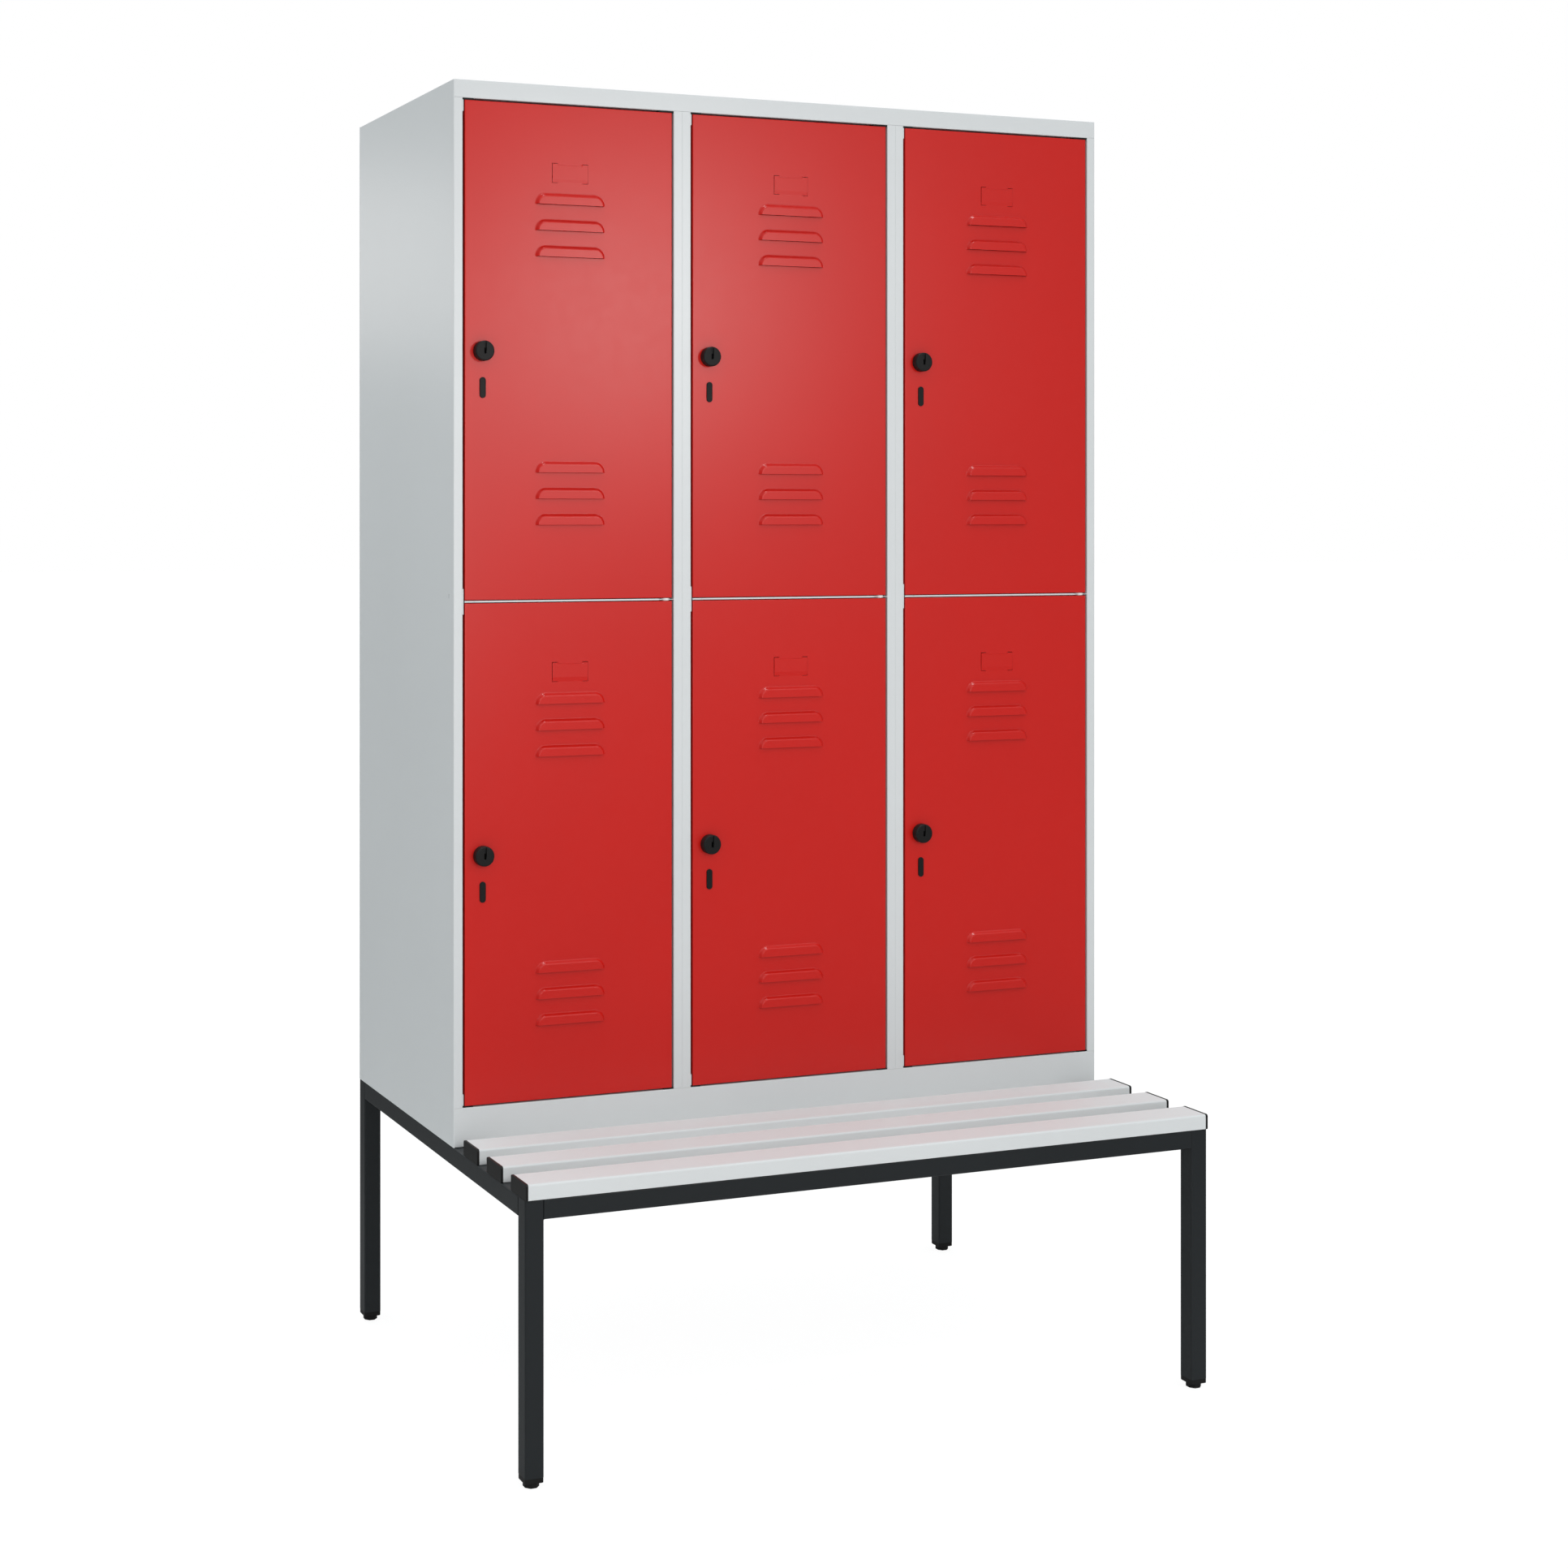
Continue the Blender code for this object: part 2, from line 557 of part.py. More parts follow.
def make_door(name, height):
    """Folded door pan, its origin on the hinge axis at its lower edge."""
    right = PIVOT_INSET
    left = right - DOOR_WIDTH
    middle = (left + right) / 2
    front, back = -PIVOT_DEPTH, -PIVOT_DEPTH + DOOR_DEPTH
    lock_x = left + LOCK_INSET
    door = add(name, box(name, (left, front, 0), (right, back, height), DOOR_EDGE_RADIUS), RED_PAINT)

    hoods, hollows = [], []
    for group in (LOWER_LOUVRES_HEIGHT, UPPER_LOUVRES_HEIGHT):
        for index in range(LOUVRES_IN_GROUP):
            place = door_front(middle, group + index * LOUVRE_PITCH)
            hoods.append(hood("hood", LOUVRE_RISE, 0, SHEET / 2, 0))
            hoods[-1].transform(place)
            hollows.append(hood("hollow", LOUVRE_RISE - SHEET, SHEET, 2 * SHEET, GAP))
            hollows[-1].transform(place)
    for side in (-1, 1):
        edge = middle + side * LABEL_FRAME_WIDTH / 2
        claw_low, claw_high = sorted((edge, edge - side * LABEL_CLAW_WIDTH))
        hoods.append(box("claw", (claw_low, front - LABEL_CLAW_RISE, LABEL_HEIGHT),
                         (claw_high, front + SHEET / 2, LABEL_HEIGHT + LABEL_FRAME_HEIGHT)))
    combine(door, "UNION", joined("pressings", hoods))
    field_half = LABEL_FRAME_WIDTH / 2 - LABEL_CLAW_WIDTH / 2
    combine(door, "UNION", box("field", (middle - field_half, front - LABEL_FIELD_RISE, LABEL_HEIGHT + GAP),
                               (middle + field_half, front + SHEET / 2,
                                LABEL_HEIGHT + LABEL_FRAME_HEIGHT - LABEL_FIELD_DROP)))
    combine(door, "DIFFERENCE", box("pan", (left + SHEET, front + SHEET, SHEET),
                                    (right - SHEET, back - SHEET, height - SHEET)))
    combine(door, "DIFFERENCE", box("rear", (left + DOOR_LIP, back - 2 * SHEET, DOOR_LIP),
                                    (right - DOOR_LIP, back + SHEET, height - DOOR_LIP)))
    combine(door, "DIFFERENCE", joined("hollows", hollows))
    spindle = turned("spindle_hole", [(0, 3 * SHEET), (SPINDLE_RADIUS + GAP, 3 * SHEET),
                                      (SPINDLE_RADIUS + GAP, -3 * SHEET), (0, -3 * SHEET)], LARGE_ROUND,
                     door_front(lock_x, LOCK_HEIGHT) @ TOWARDS_FRONT)
    oblong = [(lock_x + point.x, LOCK_HEIGHT - PLUG_DROP + point.y)
              for point in plug_outline(-PLUG_RIM + GAP)]
    slot = extrusion("plug_slot", [oblong], "Y", front - SHEET, front + 2 * SHEET)
    pins = [shaft(PIN_RADIUS + GAP, 0, 0, level - 2 * SHEET, level + 2 * SHEET) for level in (0, height)]
    combine(door, "DIFFERENCE", joined("holes", [spindle, slot] + pins))
    smooth(door)
    return door


def plug_outline(grow):
    """Outline of the oblong plug, grown or shrunk all round."""
    width, height = PLUG_WIDTH + 2 * grow, PLUG_HEIGHT + 2 * grow
    return rounded(rectangle(width, height, width * PLUG_END_ROUNDING))


def make_plug(name):
    """Oblong snap-in plug, its origin on the door's front face at its own middle."""
    head = extrusion(name, [plug_outline(0)], "Y", -GAP - PLUG_PROUD, -GAP)
    plug = add(name, head, BLACK_PLASTIC)
    shank = extrusion("shank", [plug_outline(-PLUG_RIM)], "Y",
                      -GAP - PLUG_PROUD / 2, SHEET + PLUG_SHANK_LENGTH)
    combine(plug, "UNION", shank)
    smooth(plug)
    return plug


def cam_plane():
    """Depth behind the door's front face at which the cam passes behind the stile's fold."""
    return STILE_RETURN + CAM_CLEARANCE


def make_lock(name):
    """Turn knob with its spindle and latch cam, its origin on the knob's axis at the door's face.

    The cam hangs straight down when unlocked.
    """
    seat = -cam_plane()
    under_head = seat - CAM_THICKNESS
    tip = under_head - CAM_SCREW_HEAD_HEIGHT
    profile = [(0, KNOB_PROUD), (KNOB_RADIUS - KNOB_RIM, KNOB_PROUD), (KNOB_RADIUS, KNOB_PROUD - KNOB_RIM),
               (KNOB_RADIUS, GAP), (SPINDLE_RADIUS, GAP), (SPINDLE_RADIUS, seat - CAM_THICKNESS / 2),
               (CAM_SCREW_HEAD_RADIUS, seat - CAM_THICKNESS / 2), (CAM_SCREW_HEAD_RADIUS, tip), (0, tip)]
    lock = add(name, turned(name, profile, LARGE_ROUND, TOWARDS_FRONT), BLACK_PLASTIC)
    combine(lock, "DIFFERENCE", box("keyway", (-KEYWAY_WIDTH / 2, -KNOB_PROUD - SHEET, -KEYWAY_HEIGHT / 2),
                                    (KEYWAY_WIDTH / 2, -KNOB_PROUD + KEYWAY_DEPTH, KEYWAY_HEIGHT / 2)))
    half = CAM_ARM_WIDTH / 2
    lean = math.asin(half / CAM_HUB_RADIUS)
    sweep = math.tau - 2 * lean
    hub = [CAM_HUB_RADIUS * Vector((math.sin(turn), -math.cos(turn)))
           for turn in (lean + sweep * step / SMALL_ROUND for step in range(SMALL_ROUND + 1))]
    arm = [Vector((-half, -CAM_REACH)), Vector((half, -CAM_REACH))]
    combine(lock, "UNION", extrusion("cam", [hub + arm], "Y", cam_plane(), cam_plane() + CAM_THICKNESS))
    smooth(lock)
    return lock


def make_doors():
    """Six doors on their hinge axes, each with its turn lock and plug."""
    for tier, (low, high) in TIERS.items():
        first = {}
        for index, (x, y) in enumerate(pivots()):
            label = f"{tier}_{index + 1}"
            axis = bpy.data.objects.new(f"hinge_axis_{label}", None)
            PARTS.objects.link(axis)
            axis.location = (x, y, low)
            lock = Vector((PIVOT_INSET - DOOR_WIDTH + LOCK_INSET, -PIVOT_DEPTH, LOCK_HEIGHT))
            if not first:
                door = make_door(f"door_{label}", high - low)
                plug = make_plug(f"blanking_plug_{label}")
                knob = make_lock(f"turn_lock_{label}")
                first = {piece: settled(piece) for piece in (door, plug, knob)}
            else:
                names = ("door", "blanking_plug", "turn_lock")
                door, plug, knob = (add(f"{stem}_{label}", mesh, None)
                                    for stem, mesh in zip(names, first.values()))
            door.parent = axis
            plug.parent = door
            plug.location = lock - Vector((0, 0, PLUG_DROP))
            knob.parent = door
            knob.location = lock


def tube_outline():
    """Outer and inner outlines of the square tube."""
    inner = TUBE - 2 * TUBE_WALL
    return rounded(rectangle(TUBE, TUBE, TUBE_RADIUS)), rectangle(inner, inner, 0)


def make_tube(name, axis, start, end, offset):
    """An open length of tube."""
    tube = add(name, extrusion(name, tube_outline(), axis, start, end, offset), FRAME_PAINT)
    smooth(tube)


def slat_middles():
    """Places in Y of the slats' middles, the front slat first."""
    return [FRONT - BENCH_REACH + SLAT_WIDTH / 2 + index * SLAT_PITCH for index in range(SLAT_COUNT)]


def leg_middles():
    """Place in plan of each leg's middle, by the leg's corner."""
    near = TUBE / 2
    rows = (("front", FRAME_FRONT + near), ("back", BACK - near))
    sides = (("left", LEFT + near), ("right", RIGHT - near))
    return {f"{row}_{side}": (x, y) for row, y in rows for side, x in sides}


def make_underframe():
    """Four legs, the rails welded between them and a cross rail under the cabinet's front."""
    level = FRAME_HEIGHT - TUBE / 2
    near, far = TUBE / 2, TUBE + GAP
    outer, inner = tube_outline()
    for corner, (x, y) in leg_middles().items():
        name = f"leg_{corner}"
        leg = add(name, extrusion(name, [outer], "Z", LEG_CLEARANCE, FRAME_HEIGHT, (x, y, 0)), FRAME_PAINT)
        hollow = extrusion("hollow", [inner], "Z", LEG_CLEARANCE - TUBE, FRAME_HEIGHT - TUBE_WALL, (x, y, 0))
        combine(leg, "DIFFERENCE", hollow)
        smooth(leg)
    across = (LEFT + far, RIGHT - far)
    rails = (("front_rail", FRAME_FRONT + near), ("cross_rail", FRONT + near), ("back_rail", BACK - near))
    for name, y in rails:
        make_tube(name, "X", *across, (0, y, level))
    along = (FRAME_FRONT + far, BACK - far)
    for name, x in (("left_rail", LEFT + near), ("right_rail", RIGHT - near)):
        make_tube(name, "Y", *along, (x, 0, level))


def chamber_outlines(shrink=0.0):
    """The slat's hollow chambers, side by side, about the section's middle."""
    inner = SLAT_WIDTH - 2 * SLAT_WALL
    width = (inner - (SLAT_CHAMBERS - 1) * SLAT_WALL) / SLAT_CHAMBERS
    height = SLAT_THICKNESS - 2 * SLAT_WALL
    outlines = []
    for index in range(SLAT_CHAMBERS):
        middle = -inner / 2 + width / 2 + index * (width + SLAT_WALL)
        outlines.append([Vector((middle + x, z)) for x, z, _ in
                         rectangle(width - 2 * shrink, height - 2 * shrink, 0)])
    return outlines


def make_slats():
    """Three hollow slats lying on the frame, with a cap plugged into each end."""
    middle_z = FRAME_HEIGHT + GAP + SLAT_THICKNESS / 2
    section = rounded(rectangle(SLAT_WIDTH, SLAT_THICKNESS, SLAT_TOP_RADIUS, SLAT_FOOT_RADIUS),
                      BEND_STEPS + 1)
    ends = CAP_THICKNESS + GAP
    for index, y in enumerate(slat_middles()):
        name = f"bench_slat_{index + 1}"
        offset = (0, y, middle_z)
        slat = add(name, extrusion(name, [section], "X", LEFT + ends, RIGHT - ends, offset), SLAT_PLASTIC)
        chambers = [extrusion("chamber", [outline], "X", LEFT, RIGHT, offset)
                    for outline in chamber_outlines()]
        combine(slat, "DIFFERENCE", joined("chambers", chambers))
        smooth(slat)
        for end, side in (("left", -1), ("right", 1)):
            outer, inner = side * RIGHT, side * (RIGHT - CAP_THICKNESS)
            cap_name = f"slat_cap_{index + 1}_{end}"
            plate = extrusion(cap_name, [section], "X", *sorted((outer, inner)), offset)
            cap = add(cap_name, plate, BLACK_PLASTIC)
            start, stop = sorted((inner + side * GAP, inner - side * CAP_SPIGOT))
            spigots = [extrusion("spigot", [outline], "X", start, stop, offset)
                       for outline in chamber_outlines(GAP)]
            combine(cap, "UNION", joined("spigots", spigots))
            smooth(cap)


def make_feet():
    """A plastic insert in the foot of each leg and a levelling glide screwed up into it."""
    inner = TUBE - 2 * TUBE_WALL - 2 * GAP
    collar_top = LEG_CLEARANCE - GAP
    collar_low = collar_top - COLLAR_THICKNESS
    glide_top = collar_low - GAP
    for corner, (x, y) in leg_middles().items():
        chamfered = rounded(rectangle(TUBE, TUBE, COLLAR_CHAMFER), 1)
        collar = extrusion("collar", [chamfered], "Z", collar_low, collar_top, (x, y, 0))
        insert = add(f"leg_insert_{corner}", collar, BLACK_PLASTIC)
        spigot = extrusion("spigot", [rectangle(inner, inner, 0)], "Z", collar_top - COLLAR_THICKNESS / 2,
                           LEG_CLEARANCE + SPIGOT_LENGTH, (x, y, 0))
        combine(insert, "UNION", spigot)
        combine(insert, "DIFFERENCE", shaft(STUD_RADIUS + GAP, x, y, 0, LEG_CLEARANCE + 2 * SPIGOT_LENGTH))
        smooth(insert)

        name = f"glide_{corner}"
        foot = turned(name, [(0, glide_top), (GLIDE_RADIUS, glide_top), (GLIDE_RADIUS, GLIDE_CHAMFER),
                             (GLIDE_RADIUS - GLIDE_CHAMFER, 0), (0, 0)], GLIDE_SIDES)
        glide = add(name, foot, BLACK_PLASTIC)
        glide.location = (x, y, 0)
        combine(glide, "UNION", shaft(STUD_RADIUS, 0, 0, glide_top / 2, glide_top + STUD_LENGTH))


make_side_panels()
make_top_panel()
make_bottom_panel()
make_back_panel()
make_partitions()
make_shelves()
make_coat_rails()
make_doors()
make_underframe()
make_slats()
make_feet()
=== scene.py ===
"""Double-tier steel locker with a bench: red louvred doors in a light grey cabinet on a square-tube frame."""

import math

import bmesh
import bpy
from mathutils import Matrix, Vector


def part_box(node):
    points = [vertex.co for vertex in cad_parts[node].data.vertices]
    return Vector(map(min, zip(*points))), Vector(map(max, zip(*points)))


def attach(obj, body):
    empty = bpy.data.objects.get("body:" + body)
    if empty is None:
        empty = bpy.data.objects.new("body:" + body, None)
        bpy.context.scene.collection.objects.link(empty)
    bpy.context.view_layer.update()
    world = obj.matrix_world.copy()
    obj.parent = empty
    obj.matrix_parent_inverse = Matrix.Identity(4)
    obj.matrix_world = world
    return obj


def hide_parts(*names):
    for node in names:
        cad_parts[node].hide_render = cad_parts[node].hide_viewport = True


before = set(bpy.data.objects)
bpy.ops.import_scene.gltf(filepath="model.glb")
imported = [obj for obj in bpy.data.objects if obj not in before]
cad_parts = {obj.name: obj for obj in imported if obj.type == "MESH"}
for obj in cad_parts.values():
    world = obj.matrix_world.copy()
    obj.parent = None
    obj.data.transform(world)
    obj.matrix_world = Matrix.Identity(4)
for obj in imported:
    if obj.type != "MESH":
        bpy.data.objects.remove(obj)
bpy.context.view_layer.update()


# Camera: level, at a standing person's eye height, to the left of the cabinet and about four metres off.
# The photograph is cropped off-centre above a level lens, so the lens is shifted sideways and down.
PHOTO_WIDTH = 1932
FOCAL_LENGTH_PIXELS = 2923.6
PRINCIPAL_COLUMN = 586.5
HORIZON_ROW = 639.9
SENSOR = 36.0
CAMERA_PLACE = Vector((-1.8664, -3.6445, 1.4247))
CAMERA_YAW = 0.3519

lens = bpy.data.cameras.new("camera")
lens.sensor_width = SENSOR
lens.lens = SENSOR * FOCAL_LENGTH_PIXELS / PHOTO_WIDTH
lens.shift_x = 0.5 - PRINCIPAL_COLUMN / PHOTO_WIDTH
lens.shift_y = HORIZON_ROW / PHOTO_WIDTH - 0.5
lens.clip_end = 200.0
camera = bpy.data.objects.new("camera", lens)
camera.location = CAMERA_PLACE
camera.rotation_euler = (math.radians(90), 0, -CAMERA_YAW)
bpy.context.scene.collection.objects.link(camera)
bpy.context.scene.camera = camera
bpy.context.scene.view_settings.view_transform = "Standard"



# Studio: an endless white floor under a white sky. The camera sees both as pure white. The paint's gloss
# sees the sky white overhead and dims towards the horizon and the floor, as between black flags, so that
# the colours stay deep. The object itself is lit at a plain level, and its shadow stays on the floor.
ROOM_LIGHT = 0.935
ROOM_TINT = (0.955, 0.99, 1.0, 1.0)
WARM = (1.0, 0.95, 0.93)
COOL = (0.87, 0.97, 1.0)
GLOSS_AHEAD, GLOSS_BEHIND = 0.15, 0.38
AHEAD, BEHIND = -0.2, 0.9
LOW_SKY, HIGH_SKY = 0.25, 0.8
FLOOR_COLOUR = (0.82, 0.82, 0.82, 1.0)
FLOOR_WHITE = 1.08
FLOOR_WHITE_SHARE = 0.85
FLOOR_GLOSS_SHARE = 0.7
FLOOR_NEAR, FLOOR_FAR = 1.2, 2.6
FLOOR_SIZE = 120.0
LAMPS = (("key_softbox", (1.47, -4.2, 2.17), (-0.32, -0.09, 1.77), 0.6, 21, WARM),
         ("near_softbox", (-0.5, -2.1, 1.45), (-0.4, -0.09, 1.4), 0.9, 9, WARM),
         ("side_softbox", (-1.9, 3.9, 2.3), (-0.6, 0.15, 1.86), 0.6, 2.4, WARM),
         ("top_softbox", (0.0, -0.6, 20.0), (0.0, -0.35, 0.4), 2.5, 800, COOL))


def give(tree, node, inputs):
    """Sets a node's inputs, each to a value or to another node's output."""
    for name, value in inputs.items():
        if isinstance(value, bpy.types.NodeSocket):
            tree.links.new(value, node.inputs[name])
        else:
            node.inputs[name].default_value = value


def add_node(tree, kind, inputs={}, **settings):
    """Adds a node and returns its outputs."""
    node = tree.nodes.new(kind)
    for name, value in settings.items():
        setattr(node, name, value)
    give(tree, node, inputs)
    return node.outputs


def choose(tree, share, otherwise, chosen):
    """A number that is one value where the share is 0 and another where it is 1."""
    return add_node(tree, "ShaderNodeMix", {"Factor": share, "A": otherwise, "B": chosen})["Result"]


def lay_out(tree, value, low, high, first, last=1.0, **settings):
    """A value laid out anew: from first to last, where it ran from low to high."""
    return add_node(tree, "ShaderNodeMapRange", {"Value": value, "From Min": low, "From Max": high,
                                                 "To Min": first, "To Max": last}, **settings)["Result"]


def kinds_of_ray(tree):
    """Whether a ray comes from the camera, and whether it was mirrored or refracted on its way."""
    path = add_node(tree, "ShaderNodeLightPath")
    bent = add_node(tree, "ShaderNodeMath", {0: path["Is Glossy Ray"], 1: path["Is Transmission Ray"]},
                    operation="MAXIMUM")
    return path["Is Camera Ray"], bent[0]


def end_tree(tree, kind, share, plain, white):
    """Mixes the white shader into the plain one and ends the tree with it."""
    mix = add_node(tree, "ShaderNodeMixShader", {"Fac": share, 1: plain[0], 2: white[0]})
    add_node(tree, kind, {"Surface": mix[0]})


def softbox(name, place, aim, size, power, colour):
    """A soft square lamp at a place, turned to face a point."""
    lamp = bpy.data.lights.new(name, "AREA")
    lamp.size = size
    lamp.energy = power
    lamp.color = colour
    holder = bpy.data.objects.new(name, lamp)
    holder.location = place
    holder.rotation_euler = (Vector(aim) - Vector(place)).to_track_quat("-Z", "Y").to_euler()
    bpy.context.scene.collection.objects.link(holder)


world = bpy.data.worlds.new("white_studio")
world.use_nodes = True
tree = world.node_tree
tree.nodes.clear()
seen, mirrored = kinds_of_ray(tree)
axes = add_node(tree, "ShaderNodeSeparateXYZ", {0: add_node(tree, "ShaderNodeTexCoord")["Generated"]})
horizon = lay_out(tree, axes["Y"], AHEAD, BEHIND, GLOSS_AHEAD, GLOSS_BEHIND)
sky = lay_out(tree, axes["Z"], LOW_SKY, HIGH_SKY, horizon, interpolation_type="SMOOTHSTEP")
level = choose(tree, mirrored, ROOM_LIGHT, sky)
shell = add_node(tree, "ShaderNodeBackground", {"Color": ROOM_TINT, "Strength": level})
white = add_node(tree, "ShaderNodeBackground", {"Color": (1, 1, 1, 1)})
end_tree(tree, "ShaderNodeOutputWorld", seen, shell, white)
bpy.context.scene.world = world

material = bpy.data.materials.new("white_floor")
material.use_nodes = True
tree = material.node_tree
tree.nodes.clear()
seen, mirrored = kinds_of_ray(tree)
pale = add_node(tree, "ShaderNodeBsdfDiffuse", {"Color": FLOOR_COLOUR})
strength = choose(tree, mirrored, FLOOR_WHITE, GLOSS_AHEAD)
white = add_node(tree, "ShaderNodeEmission", {"Strength": strength})
place = add_node(tree, "ShaderNodeTexCoord")["Object"]
distance = add_node(tree, "ShaderNodeVectorMath", {0: place}, operation="LENGTH")["Value"]
far = lay_out(tree, distance, FLOOR_NEAR, FLOOR_FAR, FLOOR_GLOSS_SHARE, interpolation_type="SMOOTHSTEP")
looked_at = choose(tree, seen, 0.0, FLOOR_WHITE_SHARE)
end_tree(tree, "ShaderNodeOutputMaterial", choose(tree, mirrored, looked_at, far), pale, white)
bpy.ops.mesh.primitive_plane_add(size=FLOOR_SIZE, location=(0, 0, 0))
floor = bpy.context.object
floor.name = "floor"
floor.data.materials.append(material)

for lamp_sizes in LAMPS:
    softbox(*lamp_sizes)


# Legs and rails of the underframe: 30 mm square steel tube with a 2 mm wall and rounded corners.
# Each rail is cut square, butted between two legs and welded; the frame is powder coated anthracite.
TUBE_RADIUS = 0.0025
TUBE_WALL = 0.002
CUT_GAP = 0.0003
HAIR = 0.00001
ANTHRACITE = (0.0105, 0.0135, 0.0155)
NOISE_LOW, NOISE_HIGH = 0.3, 0.7
TONE_PATCHES, GLOSS_PATCHES = 3, 60
GLOSS_DRIFT = 0.006
PEEL_DEPTH = 0.0004


def settle(name):
    """Names the piece just added, puts its place into its mesh and starts to edit it."""
    bpy.context.object.name = name
    bpy.ops.object.transform_apply(location=True, rotation=True, scale=True)
    bpy.ops.object.mode_set(mode="EDIT")
    return bpy.context.object


def start_box(name, low, high):
    """A new box between two corners, left in edit mode."""
    low, high = Vector(low), Vector(high)
    bpy.ops.mesh.primitive_cube_add(size=1, location=(low + high) / 2, scale=high - low)
    return settle(name)


def pick(kind, wanted):
    """In edit mode, selects only the faces, edges or corners that pass a test."""
    bpy.ops.mesh.select_mode(type=kind)
    bpy.ops.mesh.select_all(action="DESELECT")
    shape = bmesh.from_edit_mesh(bpy.context.object.data)
    for item in {"FACE": shape.faces, "EDGE": shape.edges, "VERT": shape.verts}[kind]:
        if wanted(item):
            item.select_set(True)
    shape.select_flush_mode()
    bmesh.update_edit_mesh(bpy.context.object.data)


def pick_all():
    """In edit mode, selects everything."""
    bpy.ops.mesh.select_all(action="SELECT")


def drop(wanted):
    """In edit mode, deletes the faces whose middle and normal pass a test."""
    pick("FACE", lambda face: wanted(face.calc_center_median(), face.normal))
    bpy.ops.mesh.delete(type="FACE")


def ease(kind, wanted, radius, steps):
    """In edit mode, rounds off the edges that pass a test, or the rims of such faces."""
    pick(kind, wanted)
    bpy.ops.mesh.bevel(offset=radius, segments=steps)


def is_fold(edge):
    """Whether an edge has a face on either side."""
    return len(edge.link_faces) == 2


def modify(piece, kind, **settings):
    """Leaves edit mode and applies one modifier to the piece."""
    bpy.ops.object.mode_set(mode="OBJECT")
    bpy.ops.object.select_all(action="DESELECT")
    piece.select_set(True)
    bpy.context.view_layer.objects.active = piece
    change = piece.modifiers.new(kind.lower(), kind)
    for name, value in settings.items():
        setattr(change, name, value)
    bpy.ops.object.modifier_apply(modifier=change.name)


def shade(piece, degrees=32):
    """Rounds shade smooth, folds stay crisp and flat faces stay flat."""
    modify(piece, "TRIANGULATE", min_vertices=5)
    bpy.ops.object.shade_smooth_by_angle(angle=math.radians(degrees))
    modify(piece, "WEIGHTED_NORMAL", keep_sharp=True)


def fit(piece, finish, *nodes, body="carcase"):
    """Paints the piece and fixes it to a body, in place of the nodes it stands for."""
    material, slot = finish
    piece.data.materials.clear()
    piece.data.materials.append(material)
    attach(piece, body)
    if nodes:
        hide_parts(*nodes)


def noise(tree, scale, detail):
    """A noise pattern fixed to the piece, in repeats to the metre."""
    place = add_node(tree, "ShaderNodeTexCoord")["Object"]
    return add_node(tree, "ShaderNodeTexNoise", {"Vector": place, "Scale": scale, "Detail": detail})["Fac"]


def drift(tree, scale, detail, low, high):
    """Noise between its usual extremes, laid out from low to high."""
    return lay_out(tree, noise(tree, scale, detail), NOISE_LOW, NOISE_HIGH, low, high)


def coating(name, slot, colour, roughness, specular, tone=0.03, peel_scale=420, peel=0.05, metallic=0.0,
            sheen=0.0):
    """A sprayed or moulded skin, with its slot: its tone and gloss drift a little and it is finely uneven."""
    material = bpy.data.materials.new(name)
    material.use_nodes = True
    tree = material.node_tree
    shades = add_node(tree, "ShaderNodeMix", {
        "Factor": drift(tree, TONE_PATCHES, 4, 0, 1),
        "A": (*[channel * (1 - tone) for channel in colour], 1),
        "B": (*[channel * (1 + tone) for channel in colour], 1)}, data_type="RGBA")
    bump = add_node(tree, "ShaderNodeBump", {
        "Strength": peel, "Distance": PEEL_DEPTH, "Height": noise(tree, peel_scale, 2)})
    give(tree, tree.nodes["Principled BSDF"], {
        "Base Color": shades["Result"], "Specular IOR Level": specular, "Metallic": metallic,
        "Roughness": drift(tree, GLOSS_PATCHES, 3, roughness - GLOSS_DRIFT, roughness + GLOSS_DRIFT),
        "Sheen Weight": sheen, "Normal": bump["Normal"]})
    return material, slot


frame_paint = coating("anthracite_powder_coat", "frame_paint", ANTHRACITE, 0.45, 0.4, tone=0.06)


def square_tube(name, axis, low, high):
    """A length of square tube with rounded corners, open at both ends."""
    tube = start_box(name, low, high)
    drop(lambda middle, normal: abs(normal[axis]) > 0.5)
    ease("EDGE", is_fold, TUBE_RADIUS, 4)
    modify(tube, "SOLIDIFY", thickness=TUBE_WALL, offset=-1)
    shade(tube)
    return tube


CORNERS = ("front_left", "front_right", "back_left", "back_right")
for corner in CORNERS:
    leg = f"leg_{corner}"
    fit(square_tube(f"{leg}_tube", 2, *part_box(leg)), frame_paint, leg)
RAIL_AXES = {"front_rail": 0, "cross_rail": 0, "back_rail": 0, "left_rail": 1, "right_rail": 1}
for rail, axis in RAIL_AXES.items():
    low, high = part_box(rail)
    low[axis] -= CUT_GAP
    high[axis] += CUT_GAP
    fit(square_tube(f"{rail}_tube", axis, low, high), frame_paint, rail)


# Weld beads where the rails meet the legs: a rippled fillet under each rail and one up its inner side.
# The outer faces are ground flush before coating, so only a fine line shows there.
BEAD_RADIUS = 0.0016
BEAD_LENGTH = 0.025
BEAD_RIPPLES = 11
BEAD_WAIST = 0.8
LYING = ((0, math.pi / 2, 0), (math.pi / 2, 0, 0), (0, 0, 0))


def start_bar(name, sides, radius, length, middle, turn=(0, 0, 0)):
    """A new round or many-sided bar about its middle, left in edit mode."""
    bpy.ops.mesh.primitive_cylinder_add(vertices=sides, radius=radius, depth=length, location=middle,
                                        rotation=turn)
    return settle(name)


def span(edge, axis):
    """How far an edge reaches along an axis."""
    return abs(getattr(edge.verts[0].co - edge.verts[1].co, axis))


